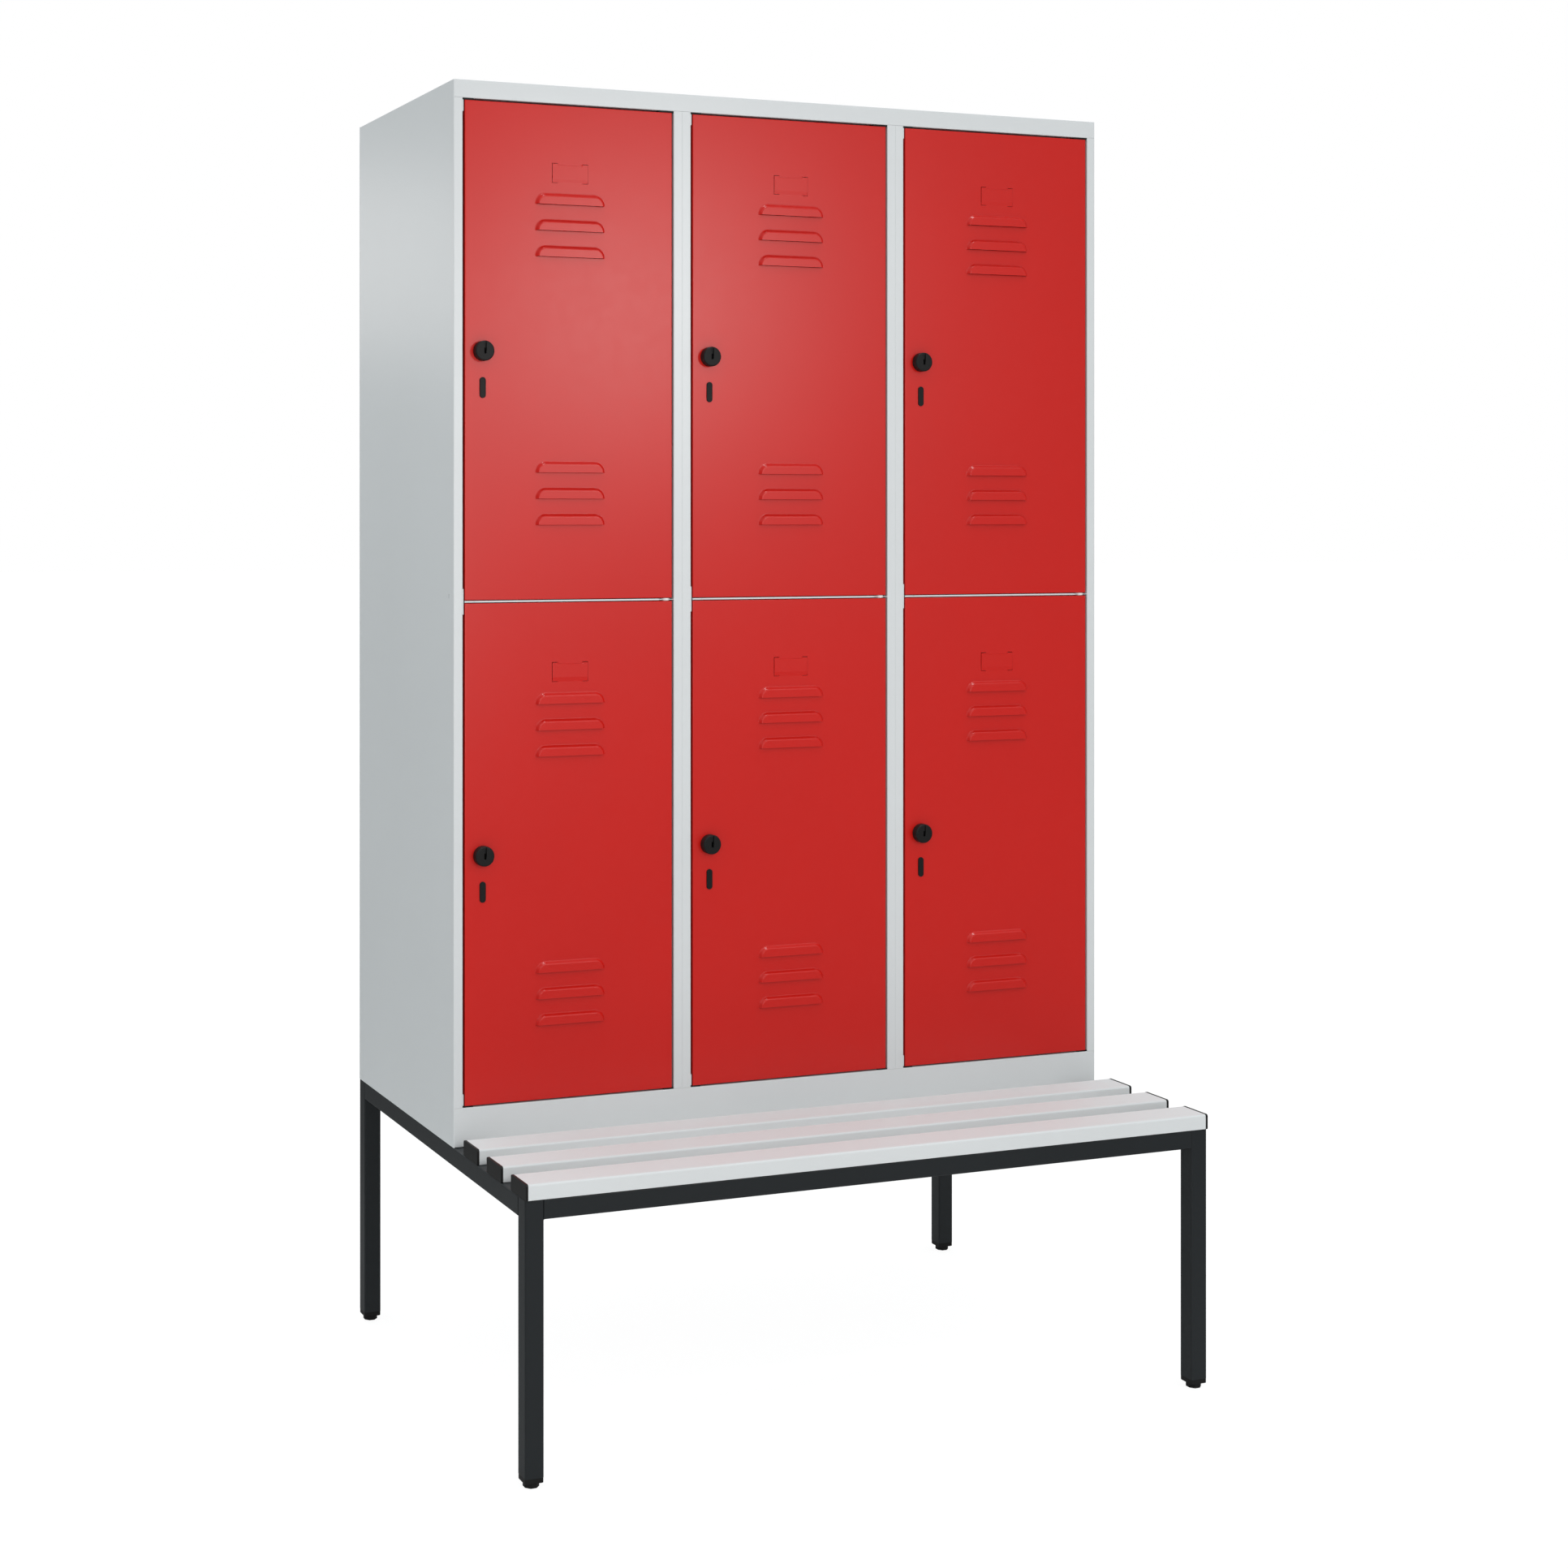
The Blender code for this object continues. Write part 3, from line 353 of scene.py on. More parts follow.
def weld_bead(name, place, axis):
    """A rippled bead of weld along X, Y or Z."""
    bead = start_bar(name, 10, BEAD_RADIUS, BEAD_LENGTH, place, LYING[axis])
    pick("EDGE", lambda edge: span(edge, "xyz"[axis]) > BEAD_LENGTH / 2)
    bpy.ops.mesh.subdivide(number_cuts=2 * BEAD_RIPPLES - 1)
    start = place[axis] - BEAD_LENGTH / 2
    step = BEAD_LENGTH / (2 * BEAD_RIPPLES)
    pick("VERT", lambda corner: round((corner.co[axis] - start) / step) % 2 == 0)
    squeeze = [BEAD_WAIST] * 3
    squeeze[axis] = 1
    bpy.ops.transform.resize(value=squeeze)
    shade(bead, 60)
    fit(bead, frame_paint)


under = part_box("front_rail")[0].z
for rail in ("front_rail", "cross_rail", "back_rail"):
    low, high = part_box(rail)
    middle = (low + high) / 2
    for side, x in (("left", low.x - CUT_GAP), ("right", high.x + CUT_GAP)):
        weld_bead(f"weld_under_{rail}_{side}", (x, middle.y, under), 1)
        inner = low.y if rail == "back_rail" else high.y
        weld_bead(f"weld_beside_{rail}_{side}", (x, inner, middle.z), 2)
for rail in ("left_rail", "right_rail"):
    low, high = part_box(rail)
    middle = (low + high) / 2
    inner = high.x if rail == "left_rail" else low.x
    for end, y in (("front", low.y - CUT_GAP), ("back", high.y + CUT_GAP)):
        weld_bead(f"weld_under_{rail}_{end}", (middle.x, y, under), 0)


# Feet: a black plastic insert driven into each leg, its collar as wide as the tube with its corners cut
# off, and an eight-sided levelling glide whose threaded stud screws up into it.
MILLIMETRE = 0.001
COLLAR_CORNER = 0.003
COLLAR_EDGE = 0.0012
GLIDE_SIDES = 8
GLIDE_EDGE = 0.0015
GLIDE_CORNER = 0.0008
STUD_RADIUS = 0.0048
THREADS = 13
THREAD_WAIST = 0.86

black_plastic = coating("black_plastic", "black_plastic", (0.009, 0.009, 0.009), 0.45, 0.22, tone=0.08,
                        peel_scale=900, peel=0.15)


def threaded_stud(place, radius, length, turns):
    """Adds a round bar with turned grooves to the mesh in edit mode, standing on a place."""
    low, step = place[2], length / (2 * turns)
    bpy.ops.mesh.primitive_cylinder_add(vertices=20, radius=radius, depth=length,
                                        location=Vector(place) + Vector((0, 0, length / 2)))
    inside = {vertex.index for vertex in bmesh.from_edit_mesh(bpy.context.object.data).verts if vertex.select}
    pick("EDGE", lambda edge: all(v.index in inside for v in edge.verts) and span(edge, "z") > length / 2)
    bpy.ops.mesh.subdivide(number_cuts=2 * turns - 1)
    pick("VERT", lambda v: (v.co.xy - Vector(place).xy).length < radius + HAIR and low + step / 2 < v.co.z
         and round((v.co.z - low) / step) % 2 == 1)
    bpy.ops.transform.resize(value=(THREAD_WAIST, THREAD_WAIST, 1))


for corner in CORNERS:
    leg_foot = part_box(f"leg_{corner}")[0].z
    low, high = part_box(f"leg_insert_{corner}")
    collar = start_box(f"leg_insert_{corner}_collar", low, (high.x, high.y, leg_foot))
    ease("EDGE", lambda edge: span(edge, "z") > MILLIMETRE, COLLAR_CORNER, 2)
    ease("FACE", lambda face: face.normal.z < -0.5, COLLAR_EDGE, 2)
    shade(collar)
    fit(collar, black_plastic, f"leg_insert_{corner}")

    low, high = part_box(f"glide_{corner}")
    middle = (low + high) / 2
    pad_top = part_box(f"leg_insert_{corner}")[0].z - CUT_GAP
    glide = start_bar(f"glide_{corner}_pad", GLIDE_SIDES, (high.x - low.x) / 2, pad_top,
                      (middle.x, middle.y, pad_top / 2), (0, 0, math.pi / GLIDE_SIDES))
    ease("FACE", lambda face: face.normal.z < -0.5, GLIDE_EDGE, 2)
    ease("EDGE", lambda edge: span(edge, "z") > pad_top / 2, GLIDE_CORNER, 2)
    threaded_stud((middle.x, middle.y, pad_top), STUD_RADIUS, high.z - pad_top, THREADS)
    shade(glide)
    fit(glide, black_plastic, f"glide_{corner}", body=f"foot_{corner}")


# Bench slats: three hollow light grey plastic sections with rounded top edges, laid across the frame.
# The black end caps are plugged into the sections and stand a hair proud of them all round.
SLAT_SHEEN = 0.5
SLAT_TOP_RADIUS = 0.0035
SLAT_FOOT_RADIUS = 0.001
SLAT_WALL = 0.0025
CAP_THICKNESS = 0.004
CAP_OVERHANG = 0.0004
CAP_EDGE = 0.0005

slat_plastic = coating("light_grey_plastic", "slat_plastic", (0.565, 0.583, 0.588), 0.45, 0.25, tone=0.02,
                       peel_scale=700, sheen=SLAT_SHEEN)


def slat_section(name, low, high):
    """A bar along X with rounded upper and slightly rounded lower edges, left in edit mode."""
    bar = start_box(name, low, high)
    middle = (low[2] + high[2]) / 2
    for upper, radius, steps in ((True, SLAT_TOP_RADIUS, 5), (False, SLAT_FOOT_RADIUS, 2)):
        ease("EDGE", lambda edge: span(edge, "x") > MILLIMETRE and (edge.verts[0].co.z > middle) == upper,
             radius, steps)
    return bar


for number in (1, 2, 3):
    low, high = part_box(f"bench_slat_{number}")
    left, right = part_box(f"slat_cap_{number}_left")[0].x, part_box(f"slat_cap_{number}_right")[1].x
    slat = slat_section(f"bench_slat_{number}_section",
                        (left + CAP_THICKNESS, low.y + CAP_OVERHANG, low.z),
                        (right - CAP_THICKNESS, high.y - CAP_OVERHANG, high.z - CAP_OVERHANG))
    drop(lambda at, normal: abs(normal.x) > 0.5)
    modify(slat, "SOLIDIFY", thickness=SLAT_WALL, offset=-1)
    shade(slat)
    fit(slat, slat_plastic, f"bench_slat_{number}")
    for end, outer, inner in (("left", left, left + CAP_THICKNESS), ("right", right, right - CAP_THICKNESS)):
        cap = slat_section(f"slat_cap_{number}_{end}_plate", (min(outer, inner), low.y, low.z),
                           (max(outer, inner), high.y, high.z))
        ease("FACE", lambda face: abs(face.normal.x) > 0.5, CAP_EDGE, 3)
        shade(cap)
        fit(cap, black_plastic, f"slat_cap_{number}_{end}")


# Fixings under the frame: a domed screw up through each side rail into each slat, and hexagon bolts with
# washers up through the cross rail and the back rail into the cabinet's floor. Zinc plated steel.
SCREW_HEAD = (0.0042, 0.0026)
SCREW_DOME = 0.6
SCREW_SOCKET = (0.0018, 0.0013)
SOCKET_EDGE = 0.0001
SCREW_FROM_LEG = 0.013
BOLT_HEAD = (0.0075, 0.0053)
BOLT_EDGE = 0.0009
BOLT_WASHER = (0.0085, 0.0016)
BOLT_WASHER_EDGE = 0.0003
BOLT_PLACES = (-0.45, 0.0, 0.45)

zinc = coating("zinc_plated_steel", "zinc_steel", (0.62, 0.62, 0.60), 0.36, 0.5, tone=0.06, peel_scale=300,
               metallic=1.0)


def hanging_disc(name, corners, place, radius, height):
    """A disc or prism that hangs from a place, in edit mode, its lower face picked."""
    disc = start_bar(name, corners, radius, height, Vector(place) - Vector((0, 0, height / 2)))
    pick("FACE", lambda face: face.normal.z < -0.5)
    return disc


def slat_screw(name, place):
    """A domed head with a round-cornered socket sunk in it."""
    radius, height = SCREW_HEAD
    screw = hanging_disc(name, 24, place, radius, height)
    bpy.ops.mesh.bevel(offset=height * SCREW_DOME, segments=5)
    pick("FACE", lambda face: face.calc_center_median().z < place[2] - height + HAIR / 10)
    bpy.ops.mesh.inset(thickness=(radius - height * SCREW_DOME) - SCREW_SOCKET[0])
    bpy.ops.mesh.inset(thickness=SOCKET_EDGE, depth=-SCREW_SOCKET[1])
    shade(screw)
    return screw


def cabinet_bolt(name, place):
    """A hexagon head below its washer."""
    bolt = hanging_disc(name, 32, place, *BOLT_WASHER)
    bpy.ops.mesh.bevel(offset=BOLT_WASHER_EDGE, segments=2)
    radius, height = BOLT_HEAD
    low = place[2] - BOLT_WASHER[1] - height
    bpy.ops.mesh.primitive_cylinder_add(vertices=6, radius=radius, depth=height + CUT_GAP,
                                        location=(place[0], place[1], low + (height + CUT_GAP) / 2))
    ease("FACE", lambda face: face.calc_center_median().z < low + HAIR, BOLT_EDGE, 3)
    shade(bolt)
    return bolt


for rail in ("left_rail", "right_rail"):
    rail_low, rail_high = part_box(rail)
    for number in (1, 2, 3):
        low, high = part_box(f"bench_slat_{number}")
        depth = max((low.y + high.y) / 2, rail_low.y + SCREW_FROM_LEG)
        place = ((rail_low.x + rail_high.x) / 2, depth, rail_low.z)
        fit(slat_screw(f"slat_screw_{rail}_{number}", place), zinc)
for rail in ("cross_rail", "back_rail"):
    low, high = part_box(rail)
    for number, x in enumerate(BOLT_PLACES, 1):
        bolt = cabinet_bolt(f"cabinet_bolt_{rail}_{number}", (x, (low.y + high.y) / 2, low.z))
        fit(bolt, zinc)


# Floor of the cabinet: one sheet, folded down at the front into the plinth and at the back into a skirt,
# both with a flange turned in that rests on the frame. Light grey powder coat inside and out.
SHEET = 0.001
BEND_RADIUS = 0.0015
STILE_WIDTH = 0.0155
STILE_RETURN = 0.0195
BASE_FLANGE = 0.026
LEFT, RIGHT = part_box("left_side_panel")[0].x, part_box("right_side_panel")[1].x
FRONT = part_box("left_side_panel")[0].y
SKIN_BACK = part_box("back_panel")[0].y
BASE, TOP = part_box("left_side_panel")[0].z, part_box("left_side_panel")[1].z
PLINTH_HEIGHT = 0.0625
HEADER_HEIGHT = 0.029
OPENING_BOTTOM, OPENING_TOP = BASE + PLINTH_HEIGHT, TOP - HEADER_HEIGHT

grey_paint = coating("light_grey_powder_coat", "grey_paint", (0.572, 0.588, 0.594), 0.3, 0.5, tone=0.012)


def draw_line(name, points):
    """A new piece made by drawing a point out along a line of folds, left in edit mode, all selected."""
    bpy.ops.mesh.primitive_plane_add(size=SHEET, location=points[0])
    line = settle(name)
    bpy.ops.mesh.select_mode(type="VERT")
    pick_all()
    bpy.ops.mesh.merge(type="CENTER")
    for before, after in zip(points, points[1:]):
        bpy.ops.mesh.extrude_region_move(
            TRANSFORM_OT_translate={"value": Vector(after) - Vector(before)})
    pick_all()
    return line


def draw_out(shift):
    """In edit mode, extrudes what is picked by a shift."""
    bpy.ops.mesh.extrude_region_move(TRANSFORM_OT_translate={"value": shift})


def folded_strip(name, points, draw, radii=None):
    """A strip of sheet folded along the points and drawn out sideways, its folds rounded, in edit mode."""
    strip = draw_line(name, points)
    draw_out(Vector(draw))
    along = Vector(draw).normalized()
    for index, fold in enumerate(points[1:-1]):
        radius = radii[index] if radii else BEND_RADIUS
        ease("EDGE", lambda edge: is_fold(edge) and all(
            (v.co - Vector(fold)).cross(along).length < HAIR for v in edge.verts), radius, 4)
    return strip


def thicken(piece, sideways):
    """Gives a sheet its thickness, away from the face that looks sideways."""
    pick_all()
    bpy.ops.mesh.normals_make_consistent(inside=False)
    shape = bmesh.from_edit_mesh(piece.data)
    widest = max(shape.faces, key=lambda face: face.calc_area() * abs(face.normal.dot(Vector(sideways))))
    if widest.normal.dot(Vector(sideways)) < 0:
        bpy.ops.mesh.flip_normals()
    modify(piece, "SOLIDIFY", thickness=SHEET, offset=-1, use_even_offset=True)
    shade(piece)


def cut_at(axis, *places):
    """In edit mode, cuts every face where it crosses these places along X, Y or Z."""
    along = Vector([float(letter == axis) for letter in "xyz"])
    for place in places:
        pick_all()
        bpy.ops.mesh.bisect(plane_co=along * place, plane_no=along)


def lies_at(edge, **places):
    """Whether both ends of an edge lie at these places along the axes named."""
    return all(abs(getattr(v.co, axis) - place) < HAIR for v in edge.verts for axis, place in places.items())


x = LEFT + BEND_RADIUS
line = [(x, SKIN_BACK - BASE_FLANGE, BASE), (x, SKIN_BACK, BASE), (x, SKIN_BACK, OPENING_BOTTOM),
        (x, FRONT, OPENING_BOTTOM), (x, FRONT, BASE), (x, FRONT + BASE_FLANGE, BASE)]
floor = folded_strip("cabinet_floor", line, (RIGHT - LEFT - 2 * BEND_RADIUS, 0, 0))
thicken(floor, (0, 0, 1))
fit(floor, grey_paint, "bottom_panel")


# Side walls: one sheet each, folded in at the front into half a post with a return behind it, and at the
# back into a lip. The post stops at the header and the plinth, which lie flush with the wall's front fold.
# A short slot behind the post takes the tab of the shelf.
REAR_LIP = 0.015
SLOT_SETBACK = 0.022
SLOT_WIDTH = 0.002
SLOT_RISE = 0.006
SLOT_HEIGHT = 0.006
TAB_SUNK = 0.0007
SHELF_LEVEL = (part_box("door_lower_1")[1].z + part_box("door_upper_1")[0].z) / 2


def merge(piece, how, other):
    """Joins another piece to this one or cuts it out, and throws the other away."""
    modify(piece, "BOOLEAN", operation=how, solver="EXACT", object=other)
    bpy.data.objects.remove(other, do_unlink=True)


def block(name, low, high, edge):
    """A cut or moulded block with all its edges eased."""
    piece = start_box(name, low, high)
    pick_all()
    bpy.ops.mesh.bevel(offset=edge, segments=2)
    shade(piece)
    return piece


def slot_box(edge, inwards, outer, play):
    """Corners of the slot's box in the wall at this edge, from a depth outside to just inside the wall."""
    across = sorted((edge + inwards * outer, edge + inwards * 2 * SHEET))
    low = (across[0], FRONT + SLOT_SETBACK - play, SHELF_LEVEL + SLOT_RISE - play)
    high = (across[1], FRONT + SLOT_SETBACK + SLOT_WIDTH + play, SHELF_LEVEL + SLOT_RISE + SLOT_HEIGHT + play)
    return low, high


def make_side(name, edge, inwards):
    """One side wall; inwards is 1 for the left wall and -1 for the right."""
    post = edge + inwards * STILE_WIDTH
    z = BASE
    line = [(post, FRONT + STILE_RETURN, z), (post, FRONT, z), (edge, FRONT, z), (edge, SKIN_BACK, z),
            (edge + inwards * REAR_LIP, SKIN_BACK, z)]
    wall = folded_strip(f"{name}_sheet", line, (0, 0, TOP - BEND_RADIUS - BASE))
    cut_at("z", OPENING_BOTTOM, OPENING_TOP)
    drop(lambda at, normal: (at.x - edge) * inwards > BEND_RADIUS + HAIR and at.y < FRONT + 2 * STILE_RETURN
         and not OPENING_BOTTOM < at.z < OPENING_TOP)
    thicken(wall, (-inwards, 0, 0))
    slot = start_box("slot", *slot_box(edge, inwards, -2 * SHEET, CUT_GAP))
    merge(wall, "DIFFERENCE", slot)
    shade(wall)
    return wall


for name, edge, inwards in (("left_side_panel", LEFT, 1), ("right_side_panel", RIGHT, -1)):
    fit(make_side(name, edge, inwards), grey_paint, name)
    fit(block(f"shelf_tab_{name}", *slot_box(edge, inwards, TAB_SUNK, 0), CUT_GAP), grey_paint)


# Partitions: two skins back to back, each folded out at the front into half a post with a return, so that
# a fine joint runs down the middle of every post.
SEAM_RADIUS = 0.0004

for number in (1, 2):
    node = f"partition_{number}"
    low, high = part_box(node)
    middle = (low.x + high.x) / 2
    skins = []
    for side in (-1, 1):
        post = middle + side * STILE_WIDTH
        z = OPENING_BOTTOM
        line = [(middle, SKIN_BACK, z), (middle, FRONT, z), (post, FRONT, z), (post, FRONT + STILE_RETURN, z)]
        skin = folded_strip(f"{node}_skin", line, (0, 0, TOP - SHEET - z), (SEAM_RADIUS, BEND_RADIUS))
        cut_at("z", OPENING_TOP)
        drop(lambda at, normal: at.z > OPENING_TOP and at.y < FRONT + STILE_RETURN
             and abs(at.x - middle) > HAIR)
        cut_at("y", FRONT + STILE_RETURN)
        drop(lambda at, normal: at.z > OPENING_TOP and at.y < FRONT + STILE_RETURN)
        thicken(skin, (-side, 0, 0))
        skins.append(skin)
    skins[0].select_set(True)
    bpy.ops.object.join()
    partition = bpy.context.object
    partition.name = f"{node}_skins"
    fit(partition, grey_paint, node)


# Shelves between the tiers: a hemmed nose that shows between the doors, upstands at the walls and a lip at
# the back. A pin through the nose carries both doors of the bay, with a pale nylon washer between them.
SHELF_PLAY = 0.0002
NOSE_THICKNESS = 0.003
NOSE_DEPTH = 0.012
NOSE_RADIUS = 0.0012
HEM_RADIUS = 0.0004
NOSE_SHORT = 0.0033
NOSE_CUT_PLACE = 0.0195
NOSE_CUT_WIDTH = 0.0008
NOSE_THIN_FROM = 0.015
NOSE_THIN_SHARE = 0.4
SHELF_UPSTAND = 0.016
SHELF_REAR_LIP = 0.012
WASHER_RADIUS = 0.008
WASHER_HEIGHT = 0.0044
WASHER_EDGE = 0.0018
PIN_RADIUS = 0.003
PIN_EDGE = 0.0008
PIN_BELOW, PIN_ABOVE = 0.012, 0.016
BAY_WIDTH = 0.4
BAYS = (1, 2, 3)
PIVOT_INSET = 0.0285
PIVOT_DEPTH = 0.008

nylon = coating("pale_nylon", "grey_paint", (0.72, 0.72, 0.70), 0.4, 0.5, tone=0.01, peel_scale=600)


def bay_left(number):
    """Place in X of the left side of a bay."""
    return LEFT + (number - 1) * BAY_WIDTH


def pivot(number):
    """Place in plan of a bay's door axis."""
    return bay_left(number) + BAY_WIDTH - PIVOT_INSET, FRONT + PIVOT_DEPTH


def make_shelf(number):
    node = f"middle_shelf_{number}"
    level = SHELF_LEVEL
    wall_left = bay_left(number) + 2 * SHEET + SHELF_PLAY
    wall_right = bay_left(number) + BAY_WIDTH - 2 * SHEET - SHELF_PLAY
    half, x = NOSE_THICKNESS / 2, wall_left
    line = [(x, FRONT + NOSE_DEPTH, level - half), (x, FRONT, level - half), (x, FRONT, level + half),
            (x, FRONT + NOSE_DEPTH, level + half), (x, FRONT + NOSE_DEPTH, level + SHEET / 2),
            (x, SKIN_BACK - SHEET, level + SHEET / 2), (x, SKIN_BACK - SHEET, level - SHELF_REAR_LIP)]
    shelf = folded_strip(f"{node}_sheet", line, (wall_right - wall_left, 0, 0),
                         (NOSE_RADIUS, NOSE_RADIUS, HEM_RADIUS, HEM_RADIUS, BEND_RADIUS))
    clear = FRONT + STILE_RETURN + CUT_GAP
    cut_at("y", clear)
    inner = bay_left(number) + STILE_WIDTH + NOSE_SHORT, bay_left(number) + BAY_WIDTH - STILE_WIDTH
    cut_at("x", *inner)
    drop(lambda at, normal: at.y < clear and not inner[0] < at.x < inner[1])
    for wall in (wall_left, wall_right):
        pick("EDGE", lambda edge: lies_at(edge, x=wall, z=level + SHEET / 2))
        draw_out((0, 0, SHELF_UPSTAND))
        ease("EDGE", lambda edge: is_fold(edge) and lies_at(edge, x=wall, z=level + SHEET / 2),
             BEND_RADIUS, 3)
    cut = inner[0] + NOSE_CUT_PLACE - NOSE_SHORT
    axis = pivot(number)[0]
    cut_at("x", cut, cut + NOSE_CUT_WIDTH, axis - NOSE_THIN_FROM, axis - WASHER_RADIUS)
    drop(lambda at, normal: cut < at.x < cut + NOSE_CUT_WIDTH and at.y < FRONT + NOSE_DEPTH / 2)
    thicken(shelf, (0, 0, 1))
    bpy.ops.object.mode_set(mode="EDIT")
    pick("VERT", lambda v: v.co.x > axis - WASHER_RADIUS - HAIR and v.co.y < FRONT + NOSE_DEPTH + HAIR
         and abs(v.co.z - level) < NOSE_THICKNESS / 2 + HAIR)
    bpy.ops.transform.resize(value=(1, 1, NOSE_THIN_SHARE), center_override=(0, 0, level))
    shade(shelf)
    fit(shelf, grey_paint, node)


def turned_rod(name, place, radius, low, high, edge, vertices):
    """A round bar standing at a place in plan, with rounded rims."""
    rod = start_bar(name, vertices, radius, high - low, (*place, (low + high) / 2))
    ease("FACE", lambda face: abs(face.normal.z) > 0.5, edge, 4)
    shade(rod)
    return rod


for number in BAYS:
    make_shelf(number)
    washer = turned_rod(f"hinge_washer_{number}", pivot(number), WASHER_RADIUS,
                        SHELF_LEVEL - WASHER_HEIGHT / 2, SHELF_LEVEL + WASHER_HEIGHT / 2, WASHER_EDGE, 32)
    fit(washer, nylon)
    for level, low, high in (("middle", SHELF_LEVEL - PIN_BELOW, SHELF_LEVEL + PIN_ABOVE),
                             ("top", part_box("top_panel")[0].z, OPENING_TOP + SHEET),
                             ("foot", OPENING_BOTTOM - SHEET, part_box("bottom_panel")[1].z)):
        pin = turned_rod(f"hinge_pin_{level}_{number}", pivot(number), PIN_RADIUS, low, high, PIN_EDGE, 16)
        fit(pin, zinc)


# Coat rails: a plated steel tube across each compartment, held to the walls by a cupped flange at each end.
COAT_RAIL_RADIUS = 0.009
FLANGE_RADIUS = 0.016
FLANGE_THICKNESS = 0.002
FLANGE_EDGE = 0.0005


def make_coat_rail(node):
    low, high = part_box(node)
    middle = (low + high) / 2
    rail = start_bar(f"{node}_tube", 32, COAT_RAIL_RADIUS, high.x - low.x, middle, LYING[0])
    cut_at("x", low.x + FLANGE_THICKNESS, high.x - FLANGE_THICKNESS)
    for start, stop in ((low.x, low.x + FLANGE_THICKNESS), (high.x - FLANGE_THICKNESS, high.x)):
        pick("FACE", lambda face: abs(face.normal.x) < 0.5 and start < face.calc_center_median().x < stop)
        bpy.ops.mesh.extrude_region_shrink_fatten(
            TRANSFORM_OT_shrink_fatten={"value": FLANGE_RADIUS - COAT_RAIL_RADIUS})
    pick_all()
    bpy.ops.mesh.remove_doubles(threshold=HAIR)
    bpy.ops.mesh.normals_make_consistent(inside=False)
    modify(rail, "BEVEL", width=FLANGE_EDGE, segments=2, limit_method="ANGLE", angle_limit=math.radians(40))
    shade(rail)
    fit(rail, zinc, node)


for tier in ("lower", "upper"):
    for number in BAYS:
        make_coat_rail(f"coat_rail_{tier}_{number}")


# Roof: one sheet folded down at the front into the header, which runs over the posts, with a return behind
# it, and at the back into a lip. Its edges lap over the side walls and lie flush with them.
roof = start_box("cabinet_roof", (LEFT, FRONT, OPENING_TOP), (RIGHT, SKIN_BACK, TOP))
drop(lambda at, normal: normal.z < -0.5)
ease("EDGE", lambda edge: is_fold(edge) and (sum(v.co.y for v in edge.verts) < 2 * SKIN_BACK - HAIR
                                             or sum(v.co.z for v in edge.verts) > 2 * TOP - HAIR),
     BEND_RADIUS, 4)
cut_at("z", TOP - BEND_RADIUS)
drop(lambda at, normal: at.z < TOP - BEND_RADIUS and abs(at.x) > RIGHT - BEND_RADIUS - HAIR)
pick("EDGE", lambda edge: lies_at(edge, y=FRONT, z=OPENING_TOP))
draw_out((0, STILE_RETURN, 0))
ease("EDGE", lambda edge: is_fold(edge) and lies_at(edge, y=FRONT, z=OPENING_TOP), BEND_RADIUS, 4)
thicken(roof, (0, 0, 1))
fit(roof, grey_paint, "top_panel")


# Back: one plain sheet, spot welded to the lips of the walls, roof and floor, to the partitions and to the
# shelves. Each weld leaves a shallow round dent.
DENT_RADIUS = 0.0034
DENT_DEPTH = 0.00025
DENT_PITCH = 0.085
DENT_INSET = 0.0075


def upright_ring(corners, radius, place, fill):
    """A flat upright ring of corners, none of them at its very top or side, left in edit mode."""
    bpy.ops.mesh.primitive_circle_add(vertices=corners, radius=radius, fill_type=fill, location=place,
                                      rotation=(math.pi / 2, math.pi / corners, 0))
    return settle("ring")


def press_rings(rings, side):
    """Insets the one face in edit mode again and again, each ring moved out towards that side in Y."""
    bpy.ops.mesh.select_mode(type="FACE")
    pick_all()
    looks = bmesh.from_edit_mesh(bpy.context.object.data).faces[:][0].normal.y
    for width, rise in rings:
        bpy.ops.mesh.inset(thickness=width, depth=math.copysign(rise, looks * side))


def copy_of(piece, name, shift):
    """A copy of a piece with its own mesh, moved within the mesh."""
    twin = piece.copy()
    twin.data = piece.data.copy()
    twin.name = name
    twin.data.name = name
    twin.data.transform(Matrix.Translation(shift))
    bpy.context.scene.collection.objects.link(twin)
    return twin


def join_all(main, others):
    """Joins the other pieces into the main one and merges corners that lie together."""
    bpy.ops.object.select_all(action="DESELECT")
    for other in others:
        other.select_set(True)
    main.select_set(True)
    bpy.context.view_layer.objects.active = main
    bpy.ops.object.join()
    bpy.ops.object.mode_set(mode="EDIT")
    pick_all()
    bpy.ops.mesh.remove_doubles(threshold=HAIR / 10)


def fill_flat(depth):
    """Fills the flat sheet between the open edges that lie at a depth, leaving the holes in it open."""
    pick("EDGE", lambda edge: not is_fold(edge) and lies_at(edge, y=depth))
    bpy.ops.mesh.fill(use_beauty=True)


def evenly(start, stop, pitch):
    """Places from start to stop, about a pitch apart."""
    count = round((stop - start) / pitch)
    return [start + (stop - start) * index / count for index in range(count + 1)]


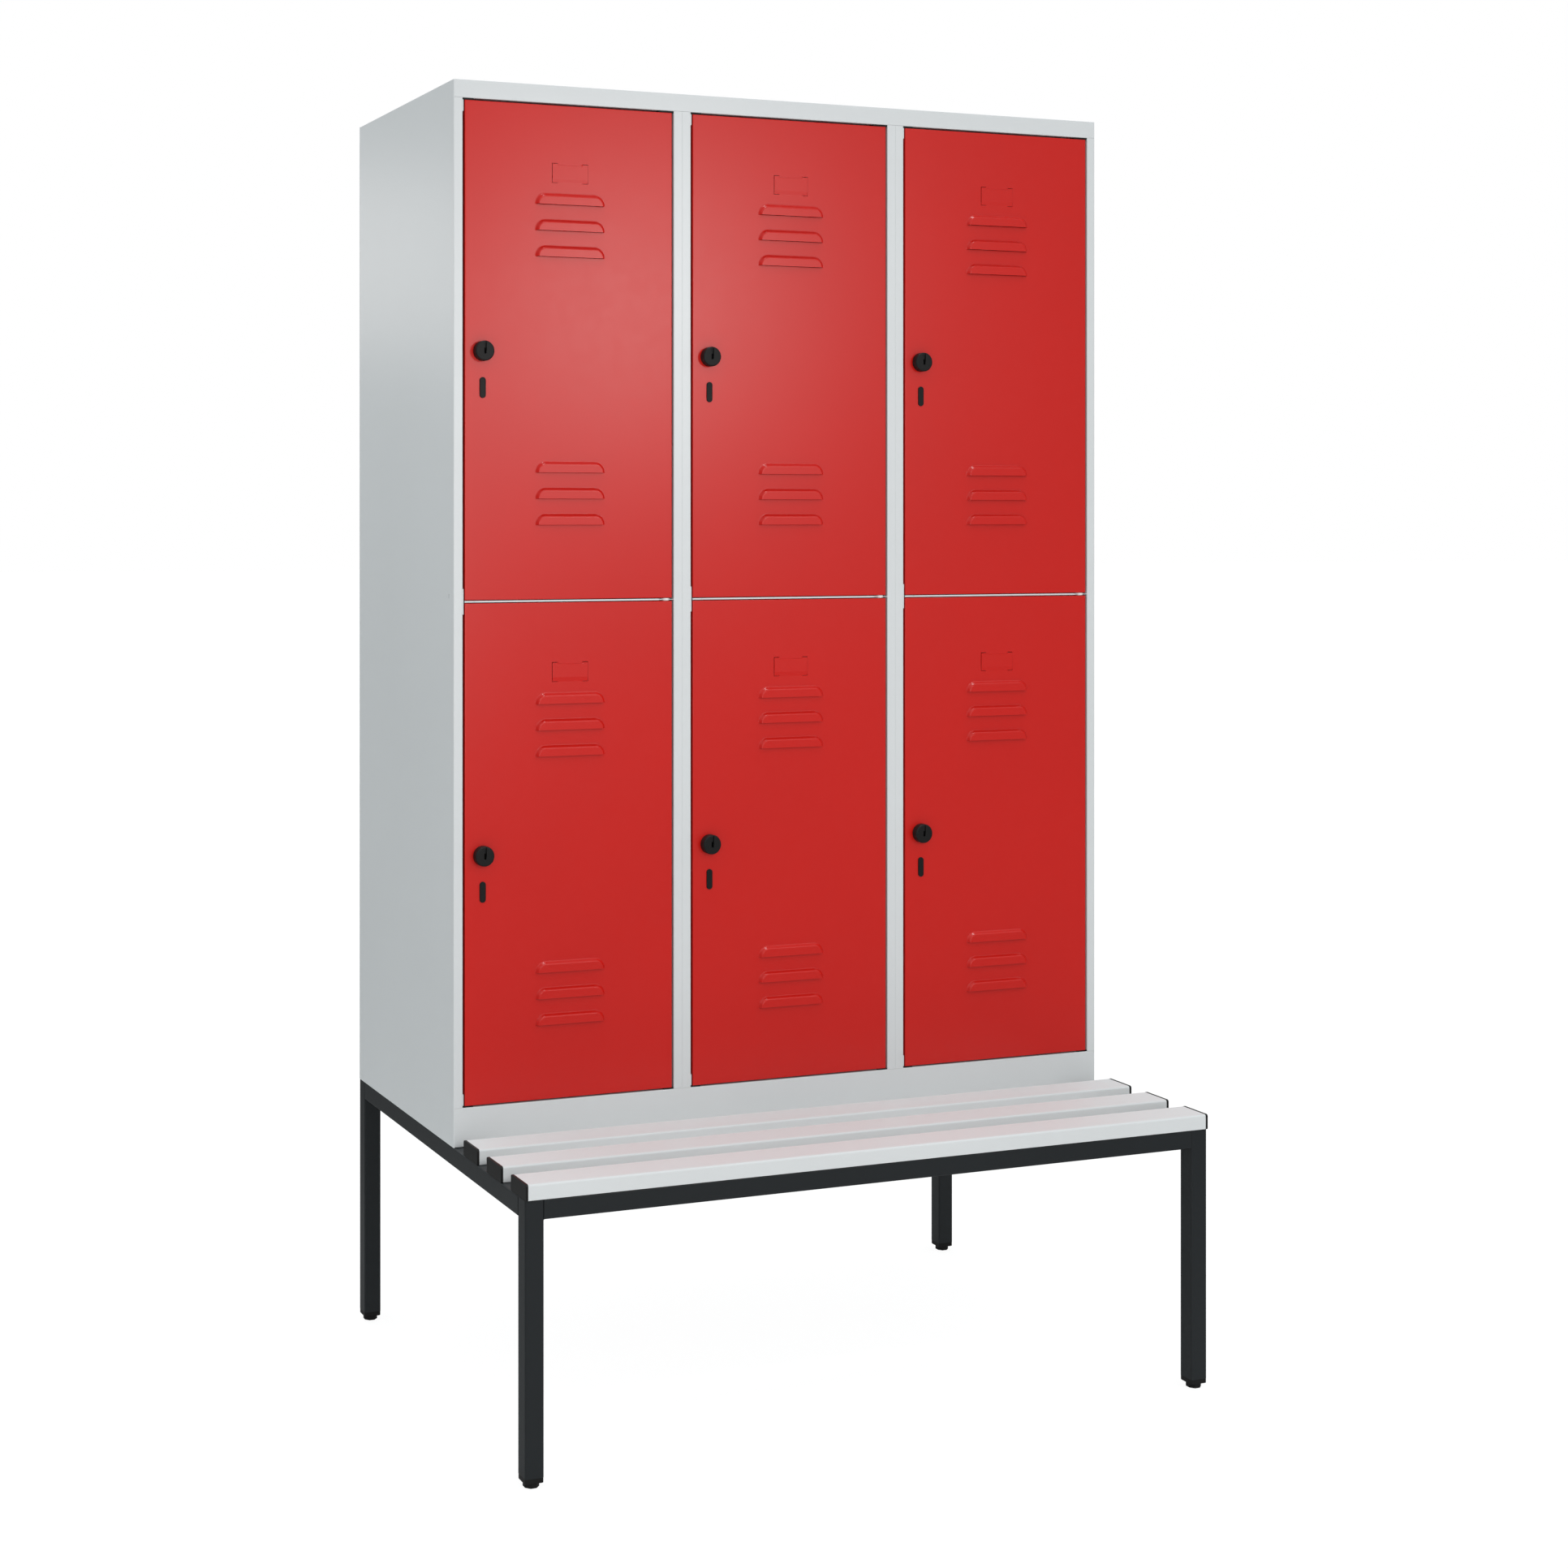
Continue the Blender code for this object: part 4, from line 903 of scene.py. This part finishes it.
low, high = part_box("back_panel")
rows = [LEFT + DENT_INSET, LEFT + BAY_WIDTH, RIGHT - BAY_WIDTH, RIGHT - DENT_INSET]
dents = [(x, z) for x in rows for z in evenly(BASE + 3 * DENT_INSET, TOP - 3 * DENT_INSET, DENT_PITCH)]
for z in (OPENING_BOTTOM - 3 * DENT_INSET, SHELF_LEVEL - DENT_INSET, TOP - DENT_INSET):
    for number in BAYS:
        start = bay_left(number) + 5 * DENT_INSET
        dents += [(x, z) for x in evenly(start, start + BAY_WIDTH - 10 * DENT_INSET, DENT_PITCH)]
first_x, first_z = dents[0]
bpy.ops.mesh.primitive_uv_sphere_add(segments=14, ring_count=8, location=(first_x, high.y, first_z),
                                     scale=(DENT_RADIUS, DENT_DEPTH, DENT_RADIUS), radius=1)
punch = bpy.context.object
bpy.ops.object.transform_apply(location=True, rotation=True, scale=True)
copies = [copy_of(punch, "punch", (x - first_x, 0, z - first_z)) for x, z in dents[1:]]
join_all(punch, copies)
bpy.ops.object.mode_set(mode="OBJECT")
back = start_box("back_sheet", low, high)
merge(back, "DIFFERENCE", punch)
shade(back, 20)
fit(back, grey_paint, "back_panel")


# Doors: a pan folded from 1 mm sheet, red powder coat. Three louvres are pressed out above and three below,
# sheared along their lower lips, with a label holder above them and holes for the lock and the plug.
DOOR_EDGE_RADIUS = 0.0009
DOOR_LIP = 0.012
PLATE_MARGIN = 0.003
PLATE_AREA = 0.01
LOUVRE_WIDTH = 0.123
LOUVRE_HEIGHT = 0.0187
LOUVRE_CORNERS = 40
LOUVRE_RINGS = ((0.0008, 0), (0.0003, 0.00012), (0.0005, 0.00043), (0.0006, 0.0007), (0.0012, 0.00175),
                (0.0008, 0.0012), (0.0006, 0.0007), (0.0006, 0.00045), (0.0005, 0.00015), (0.0008, 0))
LOUVRE_HEIGHTS = (0.120, 0.1622, 0.2044, 0.5525, 0.5947, 0.6369)
LABEL_HEIGHT = 0.672
LABEL_SIZE = (0.063, 0.032)
LABEL_SLIT = 0.0006
LABEL_TOP_SLIT = 0.0009
CLAW_WIDTH = 0.010
FIELD_DROP = 0.003
FIELD_RISE = 0.0008
FIELD_RAMP = 0.007
CREASE = 0.0004
LOCK_INSET = 0.030
LOCK_HEIGHT = 0.3975
LOCK_HOLE = 0.0098
PLUG_DROP = 0.0583
PLUG_HOLE = (0.0085, 0.0317)

red_paint = coating("red_powder_coat", "red_paint", (0.495, 0.0042, 0.001), 0.3, 0.48, tone=0.02)


def pull_apart(place, axis, distance):
    """Stretches the ring in edit mode into an oblong with round ends."""
    for side in (-1, 1):
        pick("VERT", lambda v: (v.co[axis] - place[axis]) * side > 0)
        shift = [0, 0, 0]
        shift[axis] = side * distance / 2
        bpy.ops.transform.translate(value=shift)


def press_louvre(place):
    """One louvre: an oblong pressed out in rings, of which the lower half is cut away."""
    hood = upright_ring(LOUVRE_CORNERS, LOUVRE_HEIGHT, place, "NGON")
    pull_apart(place, 0, LOUVRE_WIDTH - 2 * LOUVRE_HEIGHT)
    press_rings(LOUVRE_RINGS, -1)
    pick_all()
    bpy.ops.mesh.bisect(plane_co=place, plane_no=(0, 0, 1), clear_inner=True)
    reach = LOUVRE_WIDTH / 2 - LOUVRE_RINGS[0][0]
    pick("VERT", lambda v: abs(v.co.z - place[2]) < HAIR and abs(v.co.y - place[1]) < HAIR
         and abs(v.co.x - place[0]) < reach + HAIR * 5)
    bpy.ops.mesh.edge_face_add()
    bpy.ops.object.mode_set(mode="OBJECT")
    return hood


def press_label_holder(place):
    """A field pressed out between two bracket-shaped slits; place is the middle of its foot."""
    width, height = LABEL_SIZE
    bpy.ops.mesh.primitive_plane_add(size=1, location=(place[0], place[1], place[2] + height / 2),
                                     rotation=(math.pi / 2, 0, 0))
    bpy.context.object.scale = (width + 2 * CREASE, height + 2 * CREASE, 1)
    holder = settle("label_holder")
    slit, claw = width / 2 - LABEL_SLIT, width / 2 - CLAW_WIDTH
    for x in (width / 2, slit, claw, claw - 2 * CREASE):
        cut_at("x", place[0] + x, place[0] - x)
    top_slit, fold = height - LABEL_TOP_SLIT, height - FIELD_DROP
    cut_at("z", *[place[2] + z for z in (0, LABEL_SLIT, FIELD_RAMP, FIELD_RAMP + CREASE, fold - 2 * CREASE,
                                         fold - CREASE, fold, top_slit, height)])

    def in_slit(at, normal):
        across, up = abs(at.x - place[0]), at.z - place[2]
        if not 0 < up < height or across > width / 2:
            return False
        return across > slit or across > claw and (up < LABEL_SLIT or up > top_slit)

    def in_field(corner):
        across, up = abs(corner.co.x - place[0]), corner.co.z - place[2]
        if across > slit + HAIR or not FIELD_RAMP - HAIR < up < top_slit + HAIR:
            return False
        return across > claw - HAIR or up < fold - CREASE + HAIR

    drop(in_slit)
    pick("VERT", in_field)
    bpy.ops.transform.translate(value=(0, -FIELD_RISE, 0))
    bpy.ops.object.mode_set(mode="OBJECT")
    return holder


def make_door():
    """The first upper door; the others are copies of it."""
    low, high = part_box("door_upper_1")
    low.y = FRONT
    pan = start_box("door_upper_1_pan", low, high)
    pick("FACE", lambda face: face.normal.y > 0.5)
    bpy.ops.mesh.inset(thickness=DOOR_LIP)
    bpy.ops.mesh.delete(type="FACE")
    ease("EDGE", lambda edge: is_fold(edge) and span(edge, "y") < HAIR
         and all(min(v.co.x - low.x, high.x - v.co.x) < HAIR or min(v.co.z - low.z, high.z - v.co.z) < HAIR
                 for v in edge.verts), DOOR_EDGE_RADIUS, 4)
    pick("FACE", lambda face: face.normal.y < -0.5 and face.calc_area() > PLATE_AREA)
    bpy.ops.mesh.inset(thickness=PLATE_MARGIN)
    bpy.ops.mesh.delete(type="FACE")
    bpy.ops.object.mode_set(mode="OBJECT")
    middle, lock = (low.x + high.x) / 2, low.x + LOCK_INSET
    pressings = [press_louvre((middle, FRONT, low.z + height)) for height in LOUVRE_HEIGHTS]
    pressings.append(press_label_holder((middle, FRONT, low.z + LABEL_HEIGHT)))
    pressings.append(upright_ring(32, LOCK_HOLE, (lock, FRONT, low.z + LOCK_HEIGHT), "NOTHING"))
    bpy.ops.object.mode_set(mode="OBJECT")
    plug_place = (lock, FRONT, low.z + LOCK_HEIGHT - PLUG_DROP)
    pressings.append(upright_ring(24, PLUG_HOLE[0] / 2, plug_place, "NOTHING"))
    pull_apart(plug_place, 2, PLUG_HOLE[1] - PLUG_HOLE[0])
    bpy.ops.object.mode_set(mode="OBJECT")
    join_all(pan, pressings)
    fill_flat(FRONT)
    thicken(pan, (0, -1, 0))
    return pan


first_door = make_door()
first_low, first_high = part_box("door_upper_1")
for tier in ("upper", "lower"):
    for number in BAYS:
        node = f"door_{tier}_{number}"
        low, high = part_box(node)
        door = first_door
        if node != "door_upper_1":
            door = copy_of(first_door, f"{node}_pan", low - first_low)
            taller = (high.z - low.z) - (first_high.z - first_low.z)
            for vertex in door.data.vertices:
                if vertex.co.z > low.z + LABEL_HEIGHT + 2 * LABEL_SIZE[1]:
                    vertex.co.z += taller
        fit(door, red_paint, node, body=f"leaf_{tier}_{number}")


# Black rubber buffers and hinge bushes in the gaps above and below the doors, and the grey tabs of the
# header, shelves and floor that show between each door's lock edge and the post.
BUFFER_EDGE = 0.0005
BUFFERS = {("top", "lock"): 0.019, ("top", "hinge"): 0.027,
           ("foot", "lock"): 0.018, ("foot", "hinge"): 0.018}
BUFFER_DEPTH = 0.014
BUFFER_SETBACK = 0.0008
BUFFER_CLEARANCE = 0.0003
TAB_THICKNESS = 0.0017
TAB_SETBACK = 0.0012
TAB_CLEARANCE = 0.003
TAB_EDGE = 0.0003
TAB_DEPTH = 0.012
TAB_LENGTH = 0.018
MIDDLE_TAB_LENGTH = 0.041


for number in BAYS:
    open_left, open_right = bay_left(number) + STILE_WIDTH, bay_left(number) + BAY_WIDTH - STILE_WIDTH
    door_foot, door_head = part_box(f"door_lower_{number}")[0].z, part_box(f"door_upper_{number}")[1].z
    y = FRONT + BUFFER_SETBACK
    for (level, side), width in BUFFERS.items():
        left = open_left if side == "lock" else open_right - width
        low_z, high_z = {"top": (door_head + BUFFER_CLEARANCE, OPENING_TOP),
                         "foot": (OPENING_BOTTOM, door_foot - BUFFER_CLEARANCE)}[level]
        buffer = block(f"buffer_{level}_{side}_{number}", (left, y, low_z),
                       (left + width, y + BUFFER_DEPTH, high_z), BUFFER_EDGE)
        fit(buffer, black_plastic)
    y = FRONT + TAB_SETBACK
    for level, low_z, high_z in (
            ("top", OPENING_TOP - TAB_LENGTH - TAB_CLEARANCE, OPENING_TOP - TAB_CLEARANCE),
            ("middle", SHELF_LEVEL - MIDDLE_TAB_LENGTH / 2, SHELF_LEVEL + MIDDLE_TAB_LENGTH / 2),
            ("foot", OPENING_BOTTOM + TAB_CLEARANCE, OPENING_BOTTOM + TAB_CLEARANCE + TAB_LENGTH)):
        tab = block(f"post_tab_{level}_{number}", (open_left, y, low_z),
                    (open_left + TAB_THICKNESS, y + TAB_DEPTH, high_z), TAB_EDGE)
        fit(tab, grey_paint)


# Turn locks: a thick black disc to turn by hand, with a keyway in its face and a groove that runs up from
# it to the rim. A plated nut holds its spindle behind the door, and a plated cam hooks behind the post.
KNOB_RADIUS = 0.0161
KNOB_PROUD = 0.0128
KNOB_ROUNDING = 0.0022
KNOB_PLAY = 0.0002
KEYWAY = (0.0040, 0.0095, 0.007)
GROOVE_WIDTH = 0.0052
GROOVE_DEPTH = 0.0026
GROOVE_AT_RIM = 0.0006
GROOVE_LEAN = 0.0046
SPINDLE_RADIUS = 0.0095
NUT_RADIUS = 0.0145
NUT_THICKNESS = 0.004
NUT_EDGE, NUT_CORNER = 0.0008, 0.0006
BORE_PLAY = 0.0001
CAM_PLACE = STILE_RETURN + 0.001
CAM_THICKNESS = 0.002
CAM_TIP_RADIUS = 0.004
CAM_EDGE = 0.0003
CAM_REACH = 0.042
CAM_ARM_WIDTH = 0.014
CAM_HUB_RADIUS = 0.0105
SCREW_HEAD_RADIUS = 0.007
SCREW_HEAD_HEIGHT = 0.003
SCREW_HEAD_EDGE = 0.0008


def start_disc(name, corners, radius, place, start, stop):
    """A disc or prism lying along Y between two depths behind the front, left in edit mode."""
    middle = (place[0], place[1] + (start + stop) / 2, place[2])
    return start_bar(name, corners, radius, stop - start, middle, LYING[1])


def ring_at(place, depth, radius):
    """Test for edges that lie on a circle round the axis, at a depth."""
    return lambda edge: all(abs(v.co.y - place[1] - depth) < HAIR and abs(math.hypot(
        v.co.x - place[0], v.co.z - place[2]) - radius) < 20 * HAIR for v in edge.verts)


def make_knob(place):
    """The knob at rest, its groove up; place is on its axis, on the door's face."""
    knob = start_disc("knob_upper_1", 72, KNOB_RADIUS, place, -KNOB_PROUD, -KNOB_PLAY)
    ease("EDGE", ring_at(place, -KNOB_PROUD, KNOB_RADIUS), KNOB_ROUNDING, 6)
    pick("FACE", lambda face: face.normal.y > 0.5)
    bpy.ops.mesh.inset(thickness=KNOB_RADIUS - SPINDLE_RADIUS)
    draw_out((0, CAM_PLACE + KNOB_PLAY, 0))
    bpy.ops.object.mode_set(mode="OBJECT")
    x, y, z = place
    face = y - KNOB_PROUD
    keyway = start_box("keyway", (x - KEYWAY[0] / 2, face - SHEET, z - KEYWAY[1] / 2),
                       (x + KEYWAY[0] / 2, face + KEYWAY[2], z + KEYWAY[1] / 2))
    ease("EDGE", lambda edge: span(edge, "y") > SHEET, KEYWAY[0] / 3, 3)
    merge(knob, "DIFFERENCE", keyway)
    groove = start_box("groove", (x - GROOVE_WIDTH / 2, face - SHEET, z),
                       (x + GROOVE_WIDTH / 2, face + GROOVE_DEPTH, z + KNOB_RADIUS + SHEET))
    pick("VERT", lambda v: v.co.y > face and v.co.z > z + KNOB_RADIUS)
    bpy.ops.transform.translate(value=(0, GROOVE_AT_RIM - GROOVE_DEPTH, 0))
    pick("VERT", lambda v: v.co.y > face and v.co.x < x)
    bpy.ops.transform.translate(value=(GROOVE_LEAN, 0, 0))
    merge(knob, "DIFFERENCE", groove)
    shade(knob)
    return knob


def make_nut(place):
    nut = start_disc("lock_nut_upper_1", 6, NUT_RADIUS, place, SHEET, SHEET + NUT_THICKNESS)
    ease("FACE", lambda face: face.normal.y > 0.5, NUT_EDGE, 2)
    ease("EDGE", lambda edge: span(edge, "y") > NUT_THICKNESS / 2, NUT_CORNER, 2)
    bpy.ops.object.mode_set(mode="OBJECT")
    bore = start_disc("bore", 48, SPINDLE_RADIUS + BORE_PLAY, place, 0, 2 * NUT_THICKNESS)
    merge(nut, "DIFFERENCE", bore)
    shade(nut)
    return nut


def make_cam(place):
    """Flat cam hanging straight down, with its hub and rounded tip."""
    x, y, z = place
    arm = start_box("cam_upper_1", (x - CAM_ARM_WIDTH / 2, y + CAM_PLACE, z - CAM_REACH),
                    (x + CAM_ARM_WIDTH / 2, y + CAM_PLACE + CAM_THICKNESS, z))
    ease("EDGE", lambda edge: lies_at(edge, z=z - CAM_REACH)
         and span(edge, "y") > CAM_THICKNESS / 2, CAM_TIP_RADIUS, 6)
    bpy.ops.object.mode_set(mode="OBJECT")
    hub = start_disc("hub", 48, CAM_HUB_RADIUS, place, CAM_PLACE, CAM_PLACE + CAM_THICKNESS)
    merge(arm, "UNION", hub)
    modify(arm, "BEVEL", width=CAM_EDGE, segments=2, limit_method="ANGLE", angle_limit=math.radians(50))
    shade(arm)
    return arm


def make_cam_screw(place):
    start = CAM_PLACE + CAM_THICKNESS
    screw = start_disc("cam_screw_upper_1", 6, SCREW_HEAD_RADIUS, place, start, start + SCREW_HEAD_HEIGHT)
    ease("FACE", lambda face: face.normal.y > 0.5, SCREW_HEAD_EDGE, 3)
    shade(screw)
    return screw


# Blanking plugs: an oblong black moulding snapped into the unused hasp hole below each lock, its face a
# little sunk inside a thin rim.
PLUG_SIZE = (0.0103, 0.0335)
PLUG_PROUD = 0.0018
PLUG_RIM = 0.0011
PLUG_EDGE = 0.0006
PLUG_DISH = 0.0003
PLUG_SHANK = 0.007


def make_plug(place):
    """The plug; place is the middle of it on the door's face."""
    width, height = PLUG_SIZE
    front = (place[0], place[1] - PLUG_PROUD, place[2])
    plug = upright_ring(28, width / 2, front, "NGON")
    plug.name = "plug_upper_1"
    pull_apart(front, 2, height - width)
    pick_all()
    draw_out((0, PLUG_PROUD, 0))
    bpy.ops.mesh.inset(thickness=PLUG_RIM)
    draw_out((0, PLUG_SHANK, 0))
    pick_all()
    bpy.ops.mesh.normals_make_consistent(inside=False)
    ease("FACE", lambda face: face.normal.y < -0.5 and face.calc_center_median().y < front[1] + HAIR,
         PLUG_EDGE, 3)
    pick("FACE", lambda face: face.normal.y < -0.5 and face.calc_center_median().y < front[1] + HAIR)
    bpy.ops.mesh.inset(thickness=PLUG_RIM / 2)
    bpy.ops.mesh.inset(thickness=PLUG_RIM / 4, depth=-PLUG_DISH)
    shade(plug)
    return plug


lock_place = Vector((first_low.x + LOCK_INSET, FRONT, first_low.z + LOCK_HEIGHT))
fittings = {"knob": make_knob(lock_place), "lock_nut": make_nut(lock_place), "cam": make_cam(lock_place),
            "cam_screw": make_cam_screw(lock_place),
            "plug": make_plug(lock_place - Vector((0, 0, PLUG_DROP)))}
for tier in ("upper", "lower"):
    for number in BAYS:
        which = f"{tier}_{number}"
        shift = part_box(f"door_{which}")[0] - first_low
        made = {stem: first if which == "upper_1" else copy_of(first, f"{stem}_{which}", shift)
                for stem, first in fittings.items()}
        fit(made["knob"], black_plastic, f"turn_lock_{which}", body=f"lock_{which}")
        fit(made["cam"], zinc, body=f"lock_{which}")
        fit(made["cam_screw"], zinc, body=f"lock_{which}")
        fit(made["lock_nut"], zinc, body=f"leaf_{which}")
        fit(made["plug"], black_plastic, f"blanking_plug_{which}", body=f"leaf_{which}")
